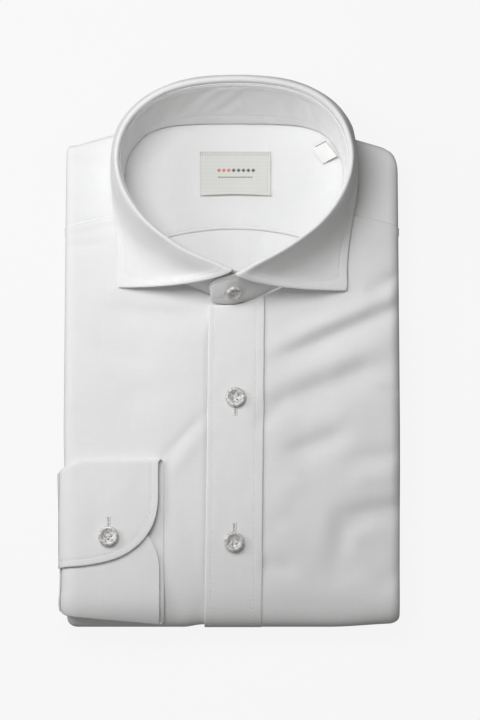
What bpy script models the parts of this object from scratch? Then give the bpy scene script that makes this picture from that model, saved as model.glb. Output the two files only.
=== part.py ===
"""Folded dress shirt, lying on its back on a table with its collar standing open.

Lengths are millimetres and are turned to metres where a mesh is made. +Z is up, +Y runs from the hem
fold to the collar, and left and right are as seen from above with the collar at the far end.

The shirt is folded at both sides and then in half, so its cloth runs over the top, round the bottom fold
and back underneath. A place on that cloth is given by two lengths: "across" from the middle line towards
a side fold and round it, and "down" from the frame's level along the top, round the bottom fold and back.
"""

import math

import bmesh
import bpy
from mathutils import Vector

MM = 0.001
LEFT, RIGHT = -1, 1

# The frame's origin is below the middle of the whole shirt's box.
BOX_MIDDLE_X = -1.93
BOX_MIDDLE_Y = 1.94

# Folded body
HALF_WIDTH = 105.0
NARROWING = {LEFT: 3.0, RIGHT: 1.0}  # by how much a side is narrower at the bottom fold
FOLD_PLANE_Z = 13.0  # the level between the upper and lower half
LOWER_THICK = 13.0
INNER_GAP = 2.0  # from the fold plane to the turned-in cloth, above and below
SIDE_ROLL_X = 6.5
SIDE_ROLL_RADIUS = 6.0
TURNED_IN = 25.0  # cloth that lies inside, past the side fold
BOTTOM_DOWN = 159.5  # where the bottom fold begins
TURN_ARC = math.pi * LOWER_THICK
HEM_END_Y = 112.0
CROWN = 3.0
CLOTH = 1.2
SEAM_GAP = 0.3
LAP = CLOTH + SEAM_GAP  # one layer of cloth on another

# Shoulders and yoke
SHOULDER_Y = {LEFT: 127.0, RIGHT: 124.8}  # at the side fold
SHOULDER_SLOPE = 0.3
SHOULDER_THICK = 11.0
SHOULDER_ROLL_Y = 5.0
CORNER_POWER = {LEFT: 0.3, RIGHT: 1.0}  # a low power makes the corner square
YOKE_SEAM_Y = 89.0
YOKE_SEAM_DROP = 8.7
INSIDE_Z = 18.8  # the inner yoke's face in the neck
INSIDE_SEAM_Y = 79.8
YOKE_REACH = 74
YOKE_COLUMNS = [-74, -66, -54, -40, -25, -10, 10, 25, 40, 54, 66, 74]
BACK_STEP = 0.3

# Placket and buttons
PLACKET_WIDTH = 35.4
PLACKET_THICK = 1.0
PLACKET_TOP_X = 3.0
PLACKET_BOTTOM_X = 1.0
PLACKET_END_DOWN = BOTTOM_DOWN + LOWER_THICK * math.radians(150)
BUTTON_DIAMETER = 12.4
COLLAR_BUTTON_DIAMETER = 10.6
BUTTON_THICK = 2.4
BUTTON_HOLE_RADIUS = 0.75
BUTTON_HOLE_SPREAD = 1.35
FRONT_BUTTONS_DOWN = {"button_front_upper": 31.5, "button_front_lower": 122.0}

# Collar
COLLAR_X = 1.5  # the collar's own middle line
BACK_LEAN_X = 1.6  # the back of the collar stands a little to the right of it
STAND_THICK = 1.6
LEAF_THICK = 1.4
ROLL_IN = 2.0  # from the fold's crest in to the top of the stand
ROLL_DOWN = 4.3
CREST_OUT = 3.0
STAND_LAP = 2.8  # the button end passes this far inside the buttonhole end
LEAF_END = 8.55  # station of the leaf's front edges
RIGHT_POINT_SHIFT = (-2.2, -2.0, 0.0)  # the right collar point sits further in and lower
STAND_END = 10.0

# Cuff
CUFF_TOP_DOWN = 71.0
CUFF_BOTTOM_DOWN = 176.0
CUFF_BOTTOM_RISE = 9.0  # the lower fold is this much higher at the side fold
CUFF_INNER = 44.0
CUFF_SEAM_ACROSS = 103.5
CUFF_CORNER_ACROSS = 43.0
CUFF_CORNER_DOWN = 45.0
CUFF_FLAP_END = 140.5
CUFF_UNDER_END = 107.0
CUFF_BUTTON_ACROSS, CUFF_BUTTON_DOWN = 76.0, 119.0
SLEEVE_TURNED_IN = 20.0

# Troughs (depth above 0) and ridges (below 0) of the front, each along a line from one end to the other.
FOLD_COLUMNS = ("x0", "y0", "x1", "y1", "width", "depth")
FOLDS = (
    (102, 30, 33, 1, 7.0, 1.5),
    (100, -6, 30, -32, 8.0, 1.3),
    (104, 56, 86, 38, 6.0, 1.0),
    (104, -88, 82, -101, 6.0, 1.0),
    (100, -58, 72, -70, 7.0, 0.7),
    (62, -55, 34, -65, 7.0, 0.6),
    (-42, -70, -22, -38, 7.0, -0.9),
    (-64, 20, -24, 24, 8.0, 0.8),
    (-64, -30, -24, -22, 8.0, 0.6),
)

# Collar sections, each a row, from the middle of the back (station 0) to the middle of the front (station 9)
# and past it where the stand laps over (station 10). x is outwards from the collar's middle line. "seam" is
# the stand's lower edge, "crest" the top of the leaf's fold, "fall" what pulls the leaf's curve, and "edge"
# the leaf's outer edge. edge_z 0 means that the edge lies on the body.
COLLAR_COLUMNS = (
    "seam_x", "seam_y", "seam_z",
    "crest_x", "crest_y", "crest_z",
    "fall_x", "fall_y", "fall_z",
    "edge_x", "edge_y", "edge_z",
)  # fmt: skip
COLLAR = (
    (0.0, 148.4, 19.6, 0.0, 168.2, 54.5, 0.0, 174.6, 38.0, 0.0, 178.6, 9.5),
    (24.4, 148.2, 19.6, 30.2, 165.4, 54.5, 31.2, 172.0, 38.0, 30.6, 176.0, 10.0),
    (44.2, 146.3, 19.6, 52.0, 156.8, 54.5, 56.0, 163.2, 38.0, 55.0, 165.8, 14.0),
    (59.0, 139.3, 19.8, 67.4, 141.0, 54.8, 72.8, 144.2, 40.0, 72.3, 146.0, 22.5),
    (69.2, 121.6, 20.3, 73.8, 119.5, 55.2, 78.0, 119.5, 40.0, 77.2, 117.5, 0.0),
    (68.5, 98.5, 22.5, 69.9, 97.6, 55.2, 75.2, 95.0, 38.0, 76.4, 96.0, 0.0),
    (60.0, 73.5, 25.5, 56.0, 76.4, 55.0, 64.0, 71.0, 35.0, 74.4, 78.5, 0.0),
    (42.0, 49.5, 27.2, 34.5, 59.2, 54.8, 45.0, 53.0, 35.0, 73.2, 60.0, 0.0),
    (19.0, 35.8, 28.0, 12.3, 47.0, 54.6, 31.0, 42.0, 40.0, 73.2, 44.5, 0.0),
    (0.0, 29.2, 28.6, 0.0, 40.8, 54.5, 22.0, 33.0, 41.0, 72.6, 33.0, 0.0),
    (-15.0, 30.0, 28.6, -15.0, 40.3, 51.0, -15.0, 29.0, 41.0, 72.6, 21.5, 0.0),
)


def mix(a, b, t):
    return a + (b - a) * t


def smooth(low, high, value):
    t = min(1.0, max(0.0, (value - low) / (high - low)))
    return t * t * (3 - 2 * t)


def steps(start, end, count):
    return [mix(start, end, k / count) for k in range(count + 1)]


def half_width(side, down):
    """The lower half lies under the upper one, so it has the same width there."""
    above = min(down, 2 * BOTTOM_DOWN + TURN_ARC - down)
    return HALF_WIDTH - NARROWING[side] * smooth(40, BOTTOM_DOWN, above)


def fold_depth(x, y):
    """How far the front sinks at (x, y) into its soft troughs; ridges are negative."""
    total = 0.0
    for row in FOLDS:
        fold = dict(zip(FOLD_COLUMNS, row))
        run = Vector((fold["x1"] - fold["x0"], fold["y1"] - fold["y0"]))
        here = Vector((x - fold["x0"], y - fold["y0"]))
        along = here.dot(run) / run.length_squared
        off = abs(here.x * run.y - here.y * run.x) / run.length
        ends = smooth(-0.25, 0.2, along) * (1 - smooth(0.7, 1.25, along))
        total += fold["depth"] * ends * math.exp(-((off / fold["width"]) ** 2))
    return total


def upper_thick(x, down):
    """Thickness of the upper half at a place, from the fold plane to the front's face."""
    base = mix(SHOULDER_THICK, 12.5, smooth(-127, -80, down))
    base = mix(base, LOWER_THICK, smooth(-70, -20, down))
    middle = smooth(-70, 30, down) * (1 - smooth(95, BOTTOM_DOWN, down))
    crown = CROWN * (1 - (x / HALF_WIDTH) ** 2) * middle
    fade = 1 - smooth(120, BOTTOM_DOWN - 5, down)
    return base + crown - fold_depth(x, -down) * fade


def across_section(side, across, down):
    """Sideways place and roll angle of the cloth: flat, round the side fold, then turned in."""
    flat = half_width(side, down) - SIDE_ROLL_X
    roll = max(0.0, (across - flat) / SIDE_ROLL_RADIUS)
    if roll <= math.pi:
        return min(across, flat) + SIDE_ROLL_X * math.sin(roll), roll
    return flat - (roll - math.pi) * SIDE_ROLL_RADIUS, math.pi


def level(roll, thick):
    """Height above the fold plane of a side fold that runs from the outer face to the turned-in cloth."""
    return (thick + INNER_GAP) / 2 + (thick - INNER_GAP) / 2 * math.cos(roll)


def skin(side, across, down):
    """A point on the outer face of the folded cloth."""
    x, roll = across_section(side, across, down)
    if down <= BOTTOM_DOWN:
        height = level(roll, upper_thick(side * x, down))
        return Vector((side * x, -down, FOLD_PLANE_Z + height))
    height = level(roll, LOWER_THICK)
    if down <= BOTTOM_DOWN + TURN_ARC:
        turn = (down - BOTTOM_DOWN) / LOWER_THICK
        y = -BOTTOM_DOWN - height * math.sin(turn)
        return Vector((side * x, y, FOLD_PLANE_Z + height * math.cos(turn)))
    y = -BOTTOM_DOWN + (down - BOTTOM_DOWN - TURN_ARC)
    return Vector((side * x, y, FOLD_PLANE_Z - height))


def lifted(side, across, down, out):
    """A point that lies off the cloth's outer face, square to it."""
    step = 0.05
    sideways = skin(side, across + step, down) - skin(side, across - step, down)
    downwards = skin(side, across, down + step) - skin(side, across, down - step)
    normal = sideways.cross(downwards).normalized() * -side
    return skin(side, across, down) + normal * out


def collar_row(name_x, station):
    """A point of the collar's table at a station between rows, on a smooth curve through them."""
    first = COLLAR_COLUMNS.index(name_x)
    at = min(max(station, 0.0), len(COLLAR) - 1.0)
    k = min(int(at), len(COLLAR) - 2)
    t = at - k

    def row(n):
        if n < 0:  # the back is mirrored past its middle
            x, y, z = COLLAR[-n][first : first + 3]
            return Vector((-x, y, z))
        return Vector(COLLAR[min(n, len(COLLAR) - 1)][first : first + 3])

    a, b, c, d = row(k - 1), row(k), row(k + 1), row(k + 2)
    return (b * 2 + (c - a) * t + (a * 2 - b * 5 + c * 4 - d) * t**2
            + (b * 3 - a - c * 3 + d) * t**3) / 2  # fmt: skip


def placed(point, side):
    lean = BACK_LEAN_X * smooth(125, 170, point.y)
    return Vector((COLLAR_X + lean + side * point.x, point.y, point.z))


def outward(station):
    """The level direction out of the collar at a station, on the right half."""
    ahead = collar_row("crest_x", station + 0.05) - collar_row("crest_x", station - 0.05)
    return Vector((-ahead.y, ahead.x, 0)).normalized()


def lap_shift(side, station):
    """The button end of the stand, on the left, passes behind the buttonhole end."""
    if side == RIGHT:
        return Vector()
    past = max(0.0, station - 9.0)
    return Vector((0, STAND_LAP * smooth(6.8, 8.8, station) + 4.0 * past**1.5, 0))


def stand_point(side, station, rise):
    """The stand's middle surface: rise 0 at its seam and 1 at its top, rounded down at its ends."""
    seam = collar_row("seam_x", station)
    crest = collar_row("crest_x", station)
    top = crest - outward(min(station, 9.0)) * ROLL_IN - Vector((0, 0, ROLL_DOWN))
    if side == LEFT:
        seam = seam - Vector((0, 0, 1.4 * smooth(6.8, 8.8, station)))
    past = max(0.0, station - 9.0) / (STAND_END - 9.0)
    high = 1 - 0.34 * past**2.5
    bow = outward(min(station, 9.0)) * (0.8 * math.sin(math.pi * rise))
    return placed(seam.lerp(top, rise * high) + bow + lap_shift(side, station), side)


def front_face_z(x, y):
    return FOLD_PLANE_Z + upper_thick(x, -y)


def leaf_curve(side, station):
    """The leaf's section as (root, crest, pull, fall, edge), on the given side."""
    out = outward(station)
    crest = collar_row("crest_x", station)
    root = crest - out * ROLL_IN - Vector((0, 0, ROLL_DOWN - LEAF_THICK / 2 - SEAM_GAP))
    edge = collar_row("edge_x", station)
    if side == RIGHT:
        edge += Vector(RIGHT_POINT_SHIFT) * smooth(4.6, 7.6, station)
    fall = collar_row("fall_x", station)
    on_body = 1 - smooth(142, 148, edge.y)
    lying = front_face_z(side * edge.x + COLLAR_X, edge.y) + 0.6 + LEAF_THICK / 2
    if on_body > 0:
        edge.z = mix(max(edge.z, 22.5), lying, on_body)
    shift = lap_shift(side, station)
    points = [root, crest, crest + out * CREST_OUT, fall, edge]
    shares = [1.0, 1.0, 1.0, 0.6, 0.0]
    return [placed(p + shift * share, side) for p, share in zip(points, shares)]


def bezier(a, b, c, d, t):
    return a * (1 - t) ** 3 + b * (3 * t * (1 - t) ** 2) + c * (3 * t * t * (1 - t)) + d * t**3


def leaf_point(side, station, width):
    """The leaf's middle surface: width below 0 is the short rise from the stand to the crest."""
    root, crest, pull, fall, edge = leaf_curve(side, station)
    if width < 0:
        t = 1 + width
        inwards = crest - (pull - crest) * 0.5
        return bezier(root, root.lerp(Vector((root.x, root.y, crest.z)), 0.7), inwards, crest, t)
    return bezier(crest, pull, fall, edge, width)


def neckline(side):
    """A front's neck edge as (x from the collar's middle, y), just outside the stand's foot."""
    found = []
    for station in steps(9.0, 5.6, 17):
        seam = collar_row("seam_x", station) + lap_shift(side, station)
        edge = seam + outward(station) * (STAND_THICK / 2 + 3 * SEAM_GAP)
        found.append((edge.x, edge.y))
    return found


NECKLINE = {side: neckline(side) for side in (LEFT, RIGHT)}


def neck_y(side, x):
    """The neck edge's y on one front at x, straight past the collar's middle, or None outside it."""
    line = NECKLINE[side]
    x = max(side * (x - COLLAR_X), line[0][0])
    for (x0, y0), (x1, y1) in zip(line, line[1:]):
        if x0 <= x <= x1:
            return mix(y0, y1, (x - x0) / (x1 - x0))
    return None


def yoke_seam_y(x):
    out = max(0.0, (abs(x) - 60) / 45)
    return YOKE_SEAM_Y - YOKE_SEAM_DROP * out**1.6


def top_edge_y(side, x):
    """Where a front panel ends at the top: at the neck, or at the yoke seam."""
    at_neck = neck_y(side, x)
    at_yoke = yoke_seam_y(x) - SEAM_GAP / 2
    return at_yoke if at_neck is None else min(at_neck, at_yoke)


def material(name, colour, roughness, metallic=0.0):
    found = bpy.data.materials.new(name)
    found.use_nodes = True
    shader = found.node_tree.nodes["Principled BSDF"]
    shader.inputs["Base Color"].default_value = (*colour, 1.0)
    shader.inputs["Roughness"].default_value = roughness
    shader.inputs["Metallic"].default_value = metallic
    return found


def start_collection(name):
    for old in list(bpy.data.objects):
        bpy.data.objects.remove(old, do_unlink=True)
    found = bpy.data.collections.new(name)
    bpy.context.scene.collection.children.link(found)
    return found


SHIRT = start_collection("folded_dress_shirt")
CUTTERS = bpy.data.collections.new("cutters")
bpy.context.scene.collection.children.link(CUTTERS)
COTTON = material("white_cotton", (0.86, 0.86, 0.86), 0.75)
SHELL = material("button_shell", (0.80, 0.79, 0.77), 0.25)
LABEL = material("woven_label", (0.78, 0.79, 0.76), 0.6)
FRAME = bpy.data.objects.new("shirt_frame", None)
FRAME.location = (-BOX_MIDDLE_X * MM, -BOX_MIDDLE_Y * MM, 0)
SHIRT.objects.link(FRAME)


def add_mesh(bm, name, finish, collection=SHIRT):
    mesh = bpy.data.meshes.new(name)
    bm.to_mesh(mesh)
    bm.free()
    mesh.materials.append(finish)
    mesh.shade_smooth()
    obj = bpy.data.objects.new(name, mesh)
    obj.parent = FRAME
    collection.objects.link(obj)
    return obj


def cloth(name, columns, rows, place, thick, facing, finish=COTTON, offset=-1, collection=SHIRT):
    """A wall of cloth: a grid whose corners go to place(column, row), given its thickness."""
    bm = bmesh.new()
    across, along = len(columns) - 1, len(rows) - 1
    bmesh.ops.create_grid(bm, x_segments=across, y_segments=along, size=1)
    for vert in bm.verts:
        column = columns[round((vert.co.x + 1) / 2 * across)]
        row = rows[round((vert.co.y + 1) / 2 * along)]
        vert.co = place(column, row) * MM
    if facing < 0:
        bmesh.ops.reverse_faces(bm, faces=bm.faces)
    obj = add_mesh(bm, name, finish, collection)
    wall = obj.modifiers.new("thickness", "SOLIDIFY")
    wall.thickness = thick * MM
    wall.offset = offset
    return obj


SIDE_ROLLS = [k * math.pi / 5 for k in range(6)]
UPPER_LINES = [-15, 0, 15, 30, 45, 60, 73, 86, 99, 112, 125, 138, 150, BOTTOM_DOWN]
TURN_LINES = [BOTTOM_DOWN + TURN_ARC * k / 6 for k in range(1, 7)]
LOWER_LINES = [BOTTOM_DOWN + TURN_ARC + BOTTOM_DOWN + y for y in (-110, -50, 10, 60, 94)]
TOP_SHARES = [0.0, 0.25, 0.5, 0.75]
END_TURNS = [math.radians(a) for a in (0, 35, 62)]


def side_columns(flat_columns):
    """Columns given as ("flat", length), ("roll", angle) or ("in", length)."""
    rolls = [("roll", angle) for angle in SIDE_ROLLS]
    return [("flat", x) for x in flat_columns] + rolls + [("in", TURNED_IN)]


def across_of(side, column, down):
    kind, value = column
    flat = half_width(side, down) - SIDE_ROLL_X
    if kind == "flat":
        return value
    if kind == "roll":
        return flat + value * SIDE_ROLL_RADIUS
    return flat + math.pi * SIDE_ROLL_RADIUS + value  # turned in


def seam_x(kind, value):
    """How far out a column is where it meets the yoke's seam."""
    if kind == "flat":
        return value
    turned = min(value, math.pi / 2) if kind == "roll" else math.pi / 2
    return HALF_WIDTH - SIDE_ROLL_X + SIDE_ROLL_X * math.sin(turned)


def panel_rows():
    top = [("top", share) for share in TOP_SHARES]
    down = [("down", value) for value in UPPER_LINES + TURN_LINES + LOWER_LINES]
    return top + down + [("end", angle) for angle in END_TURNS]


def panel_place(side, lift):
    """Maps a front panel's column and row to its outer face."""

    def place(column, row):
        kind, value = row
        if kind == "top":
            x = side * seam_x(*column)
            value = mix(-top_edge_y(side, x), UPPER_LINES[0], value)
        if kind == "end":
            last = BOTTOM_DOWN + TURN_ARC + BOTTOM_DOWN + HEM_END_Y
            across = across_of(side, column, last)
            amount = lift(side, across, last)
            point = lifted(side, across, last, amount)
            middle = FOLD_PLANE_Z / 2 - 0.5
            point.z = middle + (point.z - middle) * math.cos(value)
            point.y = HEM_END_Y + (6.0 + 1.3 * amount) * math.sin(value)
            return point
        across = across_of(side, column, value)
        return lifted(side, across, value, lift(side, across, value))

    return place


def over_lift(side, across, down):
    """The buttonhole side lies on the button side on top, and flush underneath."""
    return LAP * (1 - smooth(22, 34, across)) * (1 - smooth(BOTTOM_DOWN, 190, down))


def under_lift(side, across, down):
    return -LAP * (1 - smooth(18, 30, across)) * smooth(BOTTOM_DOWN, 190, down)


def placket_middle(down):
    return mix(PLACKET_TOP_X, PLACKET_BOTTOM_X, (down + 28) / (BOTTOM_DOWN + 28))


def build_fronts():
    flats = [-17, -9, 2, 10, 18, 26, 34, 42, 50, 57, 64, 71, 84]
    cloth("front_button_side", side_columns(flats), panel_rows(),
          panel_place(LEFT, under_lift), CLOTH, 1)  # fmt: skip
    flats = [-14.4, -7, 3, 12, 22, 28, 34, 42, 50, 57, 64, 71, 79, 88]
    cloth("front_buttonhole_side", side_columns(flats), panel_rows(),
          panel_place(RIGHT, over_lift), CLOTH, -1)  # fmt: skip


def build_placket():
    def place(share, row):
        kind, value = row
        if kind == "top":
            x = placket_middle(-28) + (share - 0.5) * PLACKET_WIDTH
            value = mix(-top_edge_y(RIGHT, x), UPPER_LINES[0], value)
        x = placket_middle(value) + (share - 0.5) * PLACKET_WIDTH
        under = LAP * (1 - smooth(BOTTOM_DOWN, 190, value))
        return lifted(RIGHT, x, value, under + SEAM_GAP + PLACKET_THICK)

    rows = [("top", 0.0), ("top", 0.5)]
    rows += [("down", value) for value in UPPER_LINES + TURN_LINES if value <= PLACKET_END_DOWN + 0.1]
    cloth("placket", steps(0, 1, 3), rows, place, PLACKET_THICK, -1)


def shoulder_y(side, x):
    return SHOULDER_Y[side] + SHOULDER_SLOPE * (HALF_WIDTH - abs(x))


def build_yoke_shoulder(side, name):
    """The yoke's front part on one shoulder, from its seam over the top fold and turned in."""
    inner_share = [0.0, 0.25, 0.5, 0.75]
    rolls = [k / 4 for k in range(5)]
    columns = [("flat", share) for share in inner_share] + [("roll", share) for share in rolls]
    rises = [("rise", t) for t in (0, 0.2, 0.4, 0.6, 0.8, 1)]
    turns = [("turn", math.radians(a)) for a in (30, 60, 90, 120, 150, 180)]
    rows = rises + turns + [("in", 10.0)]
    flat = HALF_WIDTH - SIDE_ROLL_X

    def inner_x(y):
        """Just outside the collar stand's foot."""
        return 67.0 + 6.5 * smooth(84, 112, y) - 5.0 * smooth(128, 142, y)

    def place(column, row):
        kind, value = row
        rise = value if kind == "rise" else 1.0
        turn = {"rise": 0.0, "turn": value, "in": math.pi}[kind]
        near_y = mix(yoke_seam_y(70), shoulder_y(side, 70), rise)
        start = inner_x(near_y) + side * COLLAR_X
        x = mix(start, flat, column[1]) if column[0] == "flat" else flat
        most = mix(math.pi, math.radians(72), smooth(0.05, 0.75, rise))
        roll = most * column[1] if column[0] == "roll" else 0.0
        seam_at = x if column[0] == "flat" else seam_x("roll", math.pi * column[1])
        seam = yoke_seam_y(seam_at) + SEAM_GAP / 2
        y = mix(seam, shoulder_y(side, x), rise)
        thick = upper_thick(side * x, -y)
        height = level(roll, thick)
        middle = (thick + INNER_GAP) / 2
        height = middle + (height - middle) * math.cos(turn)
        squeeze = abs(math.cos(turn)) ** CORNER_POWER[side]
        out = x + SIDE_ROLL_X * math.sin(roll) * squeeze
        back = value if kind == "in" else 0.0
        y += SHOULDER_ROLL_Y * math.sin(turn) - back
        return Vector((side * out, y, FOLD_PLANE_Z + height))

    cloth(name, columns, rows, place, CLOTH, side)


def inside_seam_y(x):
    return INSIDE_SEAM_Y - 4.5 * min(1.7, (x / 38) ** 2)


def neck_seam_y(x):
    """The back neck's edge, at a distance from the collar's middle line."""
    return 121 + 30 * math.sqrt(max(0.0, 1 - (abs(x) / YOKE_REACH) ** 3))


def build_neck_inside():
    """What shows inside the neck: the inner yoke, and the back below it."""
    columns = YOKE_COLUMNS

    def yoke_place(x, share):
        return Vector((COLLAR_X + x, mix(inside_seam_y(x), neck_seam_y(x), share), INSIDE_Z))

    cloth("yoke_inside", columns, steps(0, 1, 6), yoke_place, CLOTH, 1)
    columns = columns[1:-1]

    def back_place(x, share):
        near = inside_seam_y(x) - SEAM_GAP
        return Vector((COLLAR_X + x, mix(near, 18, share), INSIDE_Z - BACK_STEP))

    cloth("back_panel", columns, steps(0, 1, 4), back_place, CLOTH, -1)


def build_collar():
    """The stand, one band whose ends lap at the front, and the leaf that folds over it."""
    left = [(LEFT, s) for s in steps(STAND_END, 0, 26)]
    right = [(RIGHT, s) for s in steps(0, STAND_END, 26)][1:]

    def stand_place(rise, key):
        return stand_point(key[0], key[1], rise)

    cloth("collar_stand", steps(0, 1, 3), left + right, stand_place, STAND_THICK, 1, offset=0)

    left = [(LEFT, s) for s in steps(LEAF_END, 0, 26)]
    right = [(RIGHT, s) for s in steps(0, LEAF_END, 26)][1:]
    widths = [-1.0, -0.5, 0.0, 0.12, 0.26, 0.42, 0.58, 0.72, 0.86, 1.0]

    def leaf_place(width, key):
        return leaf_point(key[0], key[1], width)

    cloth("collar_leaf", widths, left + right, leaf_place, LEAF_THICK, 1, offset=0)


def cuff_bottom(across):
    share = (across - CUFF_INNER) / (CUFF_SEAM_ACROSS - CUFF_INNER)
    return CUFF_BOTTOM_DOWN - CUFF_BOTTOM_RISE * share


def corner_share(across, inner):
    """How far a rounded end is pulled back at a distance from the cuff's inner edge, 0 to 1."""
    reach = max(0.0, 1 - (across - inner) / CUFF_CORNER_ACROSS)
    return 1 - math.sqrt(max(0.0, 1 - reach**2))


def cuff_path(across, layers):
    """The cuff's wall along its loop as (down, out, kind): button end, lower fold, under layer, top fold, flap."""
    low, middle, high = layers
    bottom = cuff_bottom(across)
    under_start = CUFF_UNDER_END + CUFF_CORNER_DOWN * corner_share(across, CUFF_INNER)
    flap_end = CUFF_FLAP_END - CUFF_CORNER_DOWN * corner_share(across, CUFF_INNER)
    fold = (middle - low) / 2
    head = (high - low) / 2
    last = bottom - fold
    path = [(d, middle) for d in steps(under_start, BOTTOM_DOWN, 3)]
    path += [(d, middle) for d in steps(BOTTOM_DOWN, last, 3)[1:]]
    for k in range(1, 4):
        angle = math.pi * k / 4
        path.append((last + fold * math.sin(angle), low + fold + fold * math.cos(angle)))
    path += [(d, low) for d in steps(last, BOTTOM_DOWN, 3)]
    path += [(d, low) for d in (150, 138, 125, 112, 99, 86, CUFF_TOP_DOWN + head)]
    for k in range(1, 4):
        angle = math.pi * k / 4
        path.append((CUFF_TOP_DOWN + head - head * math.sin(angle), low + head - head * math.cos(angle)))
    path += [(d, high) for d in steps(CUFF_TOP_DOWN + head, flap_end, 5)]
    return path


CUFF_LAYERS = (1.5, 3.5, 5.4)  # the middle of each layer above the front's face
CUFF_ROWS = len(cuff_path(60.0, CUFF_LAYERS))


def cuff_place(across, index):
    down, out = cuff_path(across, CUFF_LAYERS)[index]
    return lifted(LEFT, across, down, out)


def build_cuff():
    corner = [CUFF_INNER + CUFF_CORNER_ACROSS * t for t in (0.0, 0.03, 0.12, 0.28, 0.5, 0.75, 1.0)]
    columns = corner + [93.0, 98.5, 101.0, CUFF_SEAM_ACROSS]
    rows = list(range(CUFF_ROWS))
    cloth("cuff", columns, rows, cuff_place, CLOTH, 1, offset=0)


def build_sleeve():
    """The sleeve comes from between the halves and round the side fold to the cuff, pressed flat."""
    start = CUFF_SEAM_ACROSS + 2.5 * SEAM_GAP
    rolls = [("roll", angle) for angle in SIDE_ROLLS[3:]]
    columns = [("start", 0.0), ("start", 0.5)] + rolls + [("in", SLEEVE_TURNED_IN * t) for t in (0.5, 1)]
    top, bottom = CUFF_TOP_DOWN + 1, CUFF_BOTTOM_DOWN - CUFF_BOTTOM_RISE - 0.5

    def path(low, high):
        half = (high - low) / 2
        found = [(d, low) for d in (99, 112, 125, 138, 150, bottom - half)]
        for k in range(1, 4):
            angle = math.pi * k / 4
            found.append((bottom - half + half * math.sin(angle), low + half - half * math.cos(angle)))
        found += [(d, high) for d in (bottom - half, 150, 125, 99, top + half)]
        for k in range(1, 4):
            angle = math.pi * k / 4
            found.append((top + half - half * math.sin(angle), low + half + half * math.cos(angle)))
        return found + [(d, low) for d in (top + half, 86, 99 - SEAM_GAP)]

    def place(column, index):
        kind, value = column
        inside = {"start": 0.0, "roll": smooth(math.radians(110), math.pi, value), "in": 1.0}[kind]
        down, out = path(mix(1.3, 1.1, inside), mix(3.9, 3.0, inside))[index]
        if kind == "start":
            across = mix(start, across_of(LEFT, ("roll", SIDE_ROLLS[3]), down), value)
        else:
            across = across_of(LEFT, column, down)
        return lifted(LEFT, across, down, out)

    rows = list(range(len(path(1, 3))))
    cloth("sleeve", columns, rows, place, CLOTH, -1, offset=0)


def layers_ring(y):
    """Half section of the hidden layers at y, from the top middle to the bottom middle."""
    top_skin = CLOTH + 0.9
    low_skin = CLOTH + 0.4
    turned = INNER_GAP + CLOTH + 0.4
    in_neck = smooth(8, 16, y)
    past_hem = smooth(108, 120, y)
    nose = max(0.0, -BOTTOM_DOWN - y)

    def top(x):
        full = FOLD_PLANE_Z + min(upper_thick(x, -y), upper_thick(-x, -y)) - top_skin
        return mix(full, INSIDE_Z - BACK_STEP - CLOTH - SEAM_GAP, in_neck)

    shoulder = smooth(112, 124, y)
    full_top = mix(FOLD_PLANE_Z + 12.4 - top_skin, FOLD_PLANE_Z + 11 - top_skin, smooth(40, 120, y))
    full_top = mix(min(top(77), top(96)), full_top, in_neck)
    edge = half_width(LEFT, -y) - 3.2
    reach_up = mix(edge, 74, shoulder)
    reach_mid = mix(edge + 0.6, 72.6, shoulder)
    reach_low = mix(edge, 74, past_hem)
    mid_z = FOLD_PLANE_Z
    rim = 69.0
    bottom = mix(low_skin, 10.5, past_hem)
    lap_bottom = mix(low_skin + LAP, 10.5, past_hem)
    low_top = mid_z - turned - 0.1
    points = [
        (0, top(0)), (34, top(34)), (66, top(66)), (76, mix(full_top, top(66), in_neck)),
        (79, full_top), (reach_up - 5, full_top), (reach_up, mid_z + 7), (reach_up - 5, mid_z + turned),
        (rim, mid_z + turned), (rim, mid_z + INNER_GAP - 0.4), (reach_mid - 1.5, mid_z + INNER_GAP - 0.4),
        (reach_mid, mid_z), (reach_mid - 1.5, mid_z - INNER_GAP + 0.4), (rim, mid_z - INNER_GAP + 0.4),
        (rim, low_top), (reach_low - 5, low_top), (reach_low, 5.6), (reach_low - 5, low_skin),
        (37, bottom), (32, lap_bottom), (0, lap_bottom),
    ]  # fmt: skip
    return points


def build_layers():
    """Everything that lies hidden between the fronts, as one solid with the layers' edges at its sides."""
    rings = []
    for y in (-158, -130, -95, -60, -52, -20, 6, 18, 60, 100, 110):
        sleeve_side = 1 - smooth(-62, -54, y)
        half = layers_ring(y)
        right = [(x, z) for x, z in half]
        left = []
        for index, (x, z) in enumerate(half):
            if 10 <= index <= 12:  # the sleeve fills this place on the left
                x = mix(x, 69.4 + (0.6 if index == 11 else 0.0), sleeve_side)
            left.append((-x, z))
        loop = right + left[::-1][1:-1]
        rings.append([Vector((x, y, z)) for x, z in loop])
    bm = bmesh.new()
    loops = [[bm.verts.new(p * MM) for p in ring] for ring in rings]
    for near, far in zip(loops, loops[1:]):
        for k in range(len(near)):
            after = (k + 1) % len(near)
            bm.faces.new((near[k], near[after], far[after], far[k]))
    bm.faces.new(loops[0])
    bm.faces.new(loops[-1][::-1])
    bmesh.ops.recalc_face_normals(bm, faces=bm.faces)
    layers = add_mesh(bm, "folded_layers", COTTON)
    join(layers, neck_layers())
    for side, name in ((LEFT, "shoulder_layers_left"), (RIGHT, "shoulder_layers_right")):
        bm = bmesh.new()
        bmesh.ops.create_cube(bm, size=1)
        bmesh.ops.scale(bm, vec=Vector((17, 29, 4.4)) * MM, verts=bm.verts)
        bmesh.ops.translate(bm, vec=Vector((side * 86.6, 107.3, 19.67)) * MM, verts=bm.verts)
        join(layers, add_mesh(bm, name, COTTON, CUTTERS))


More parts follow.
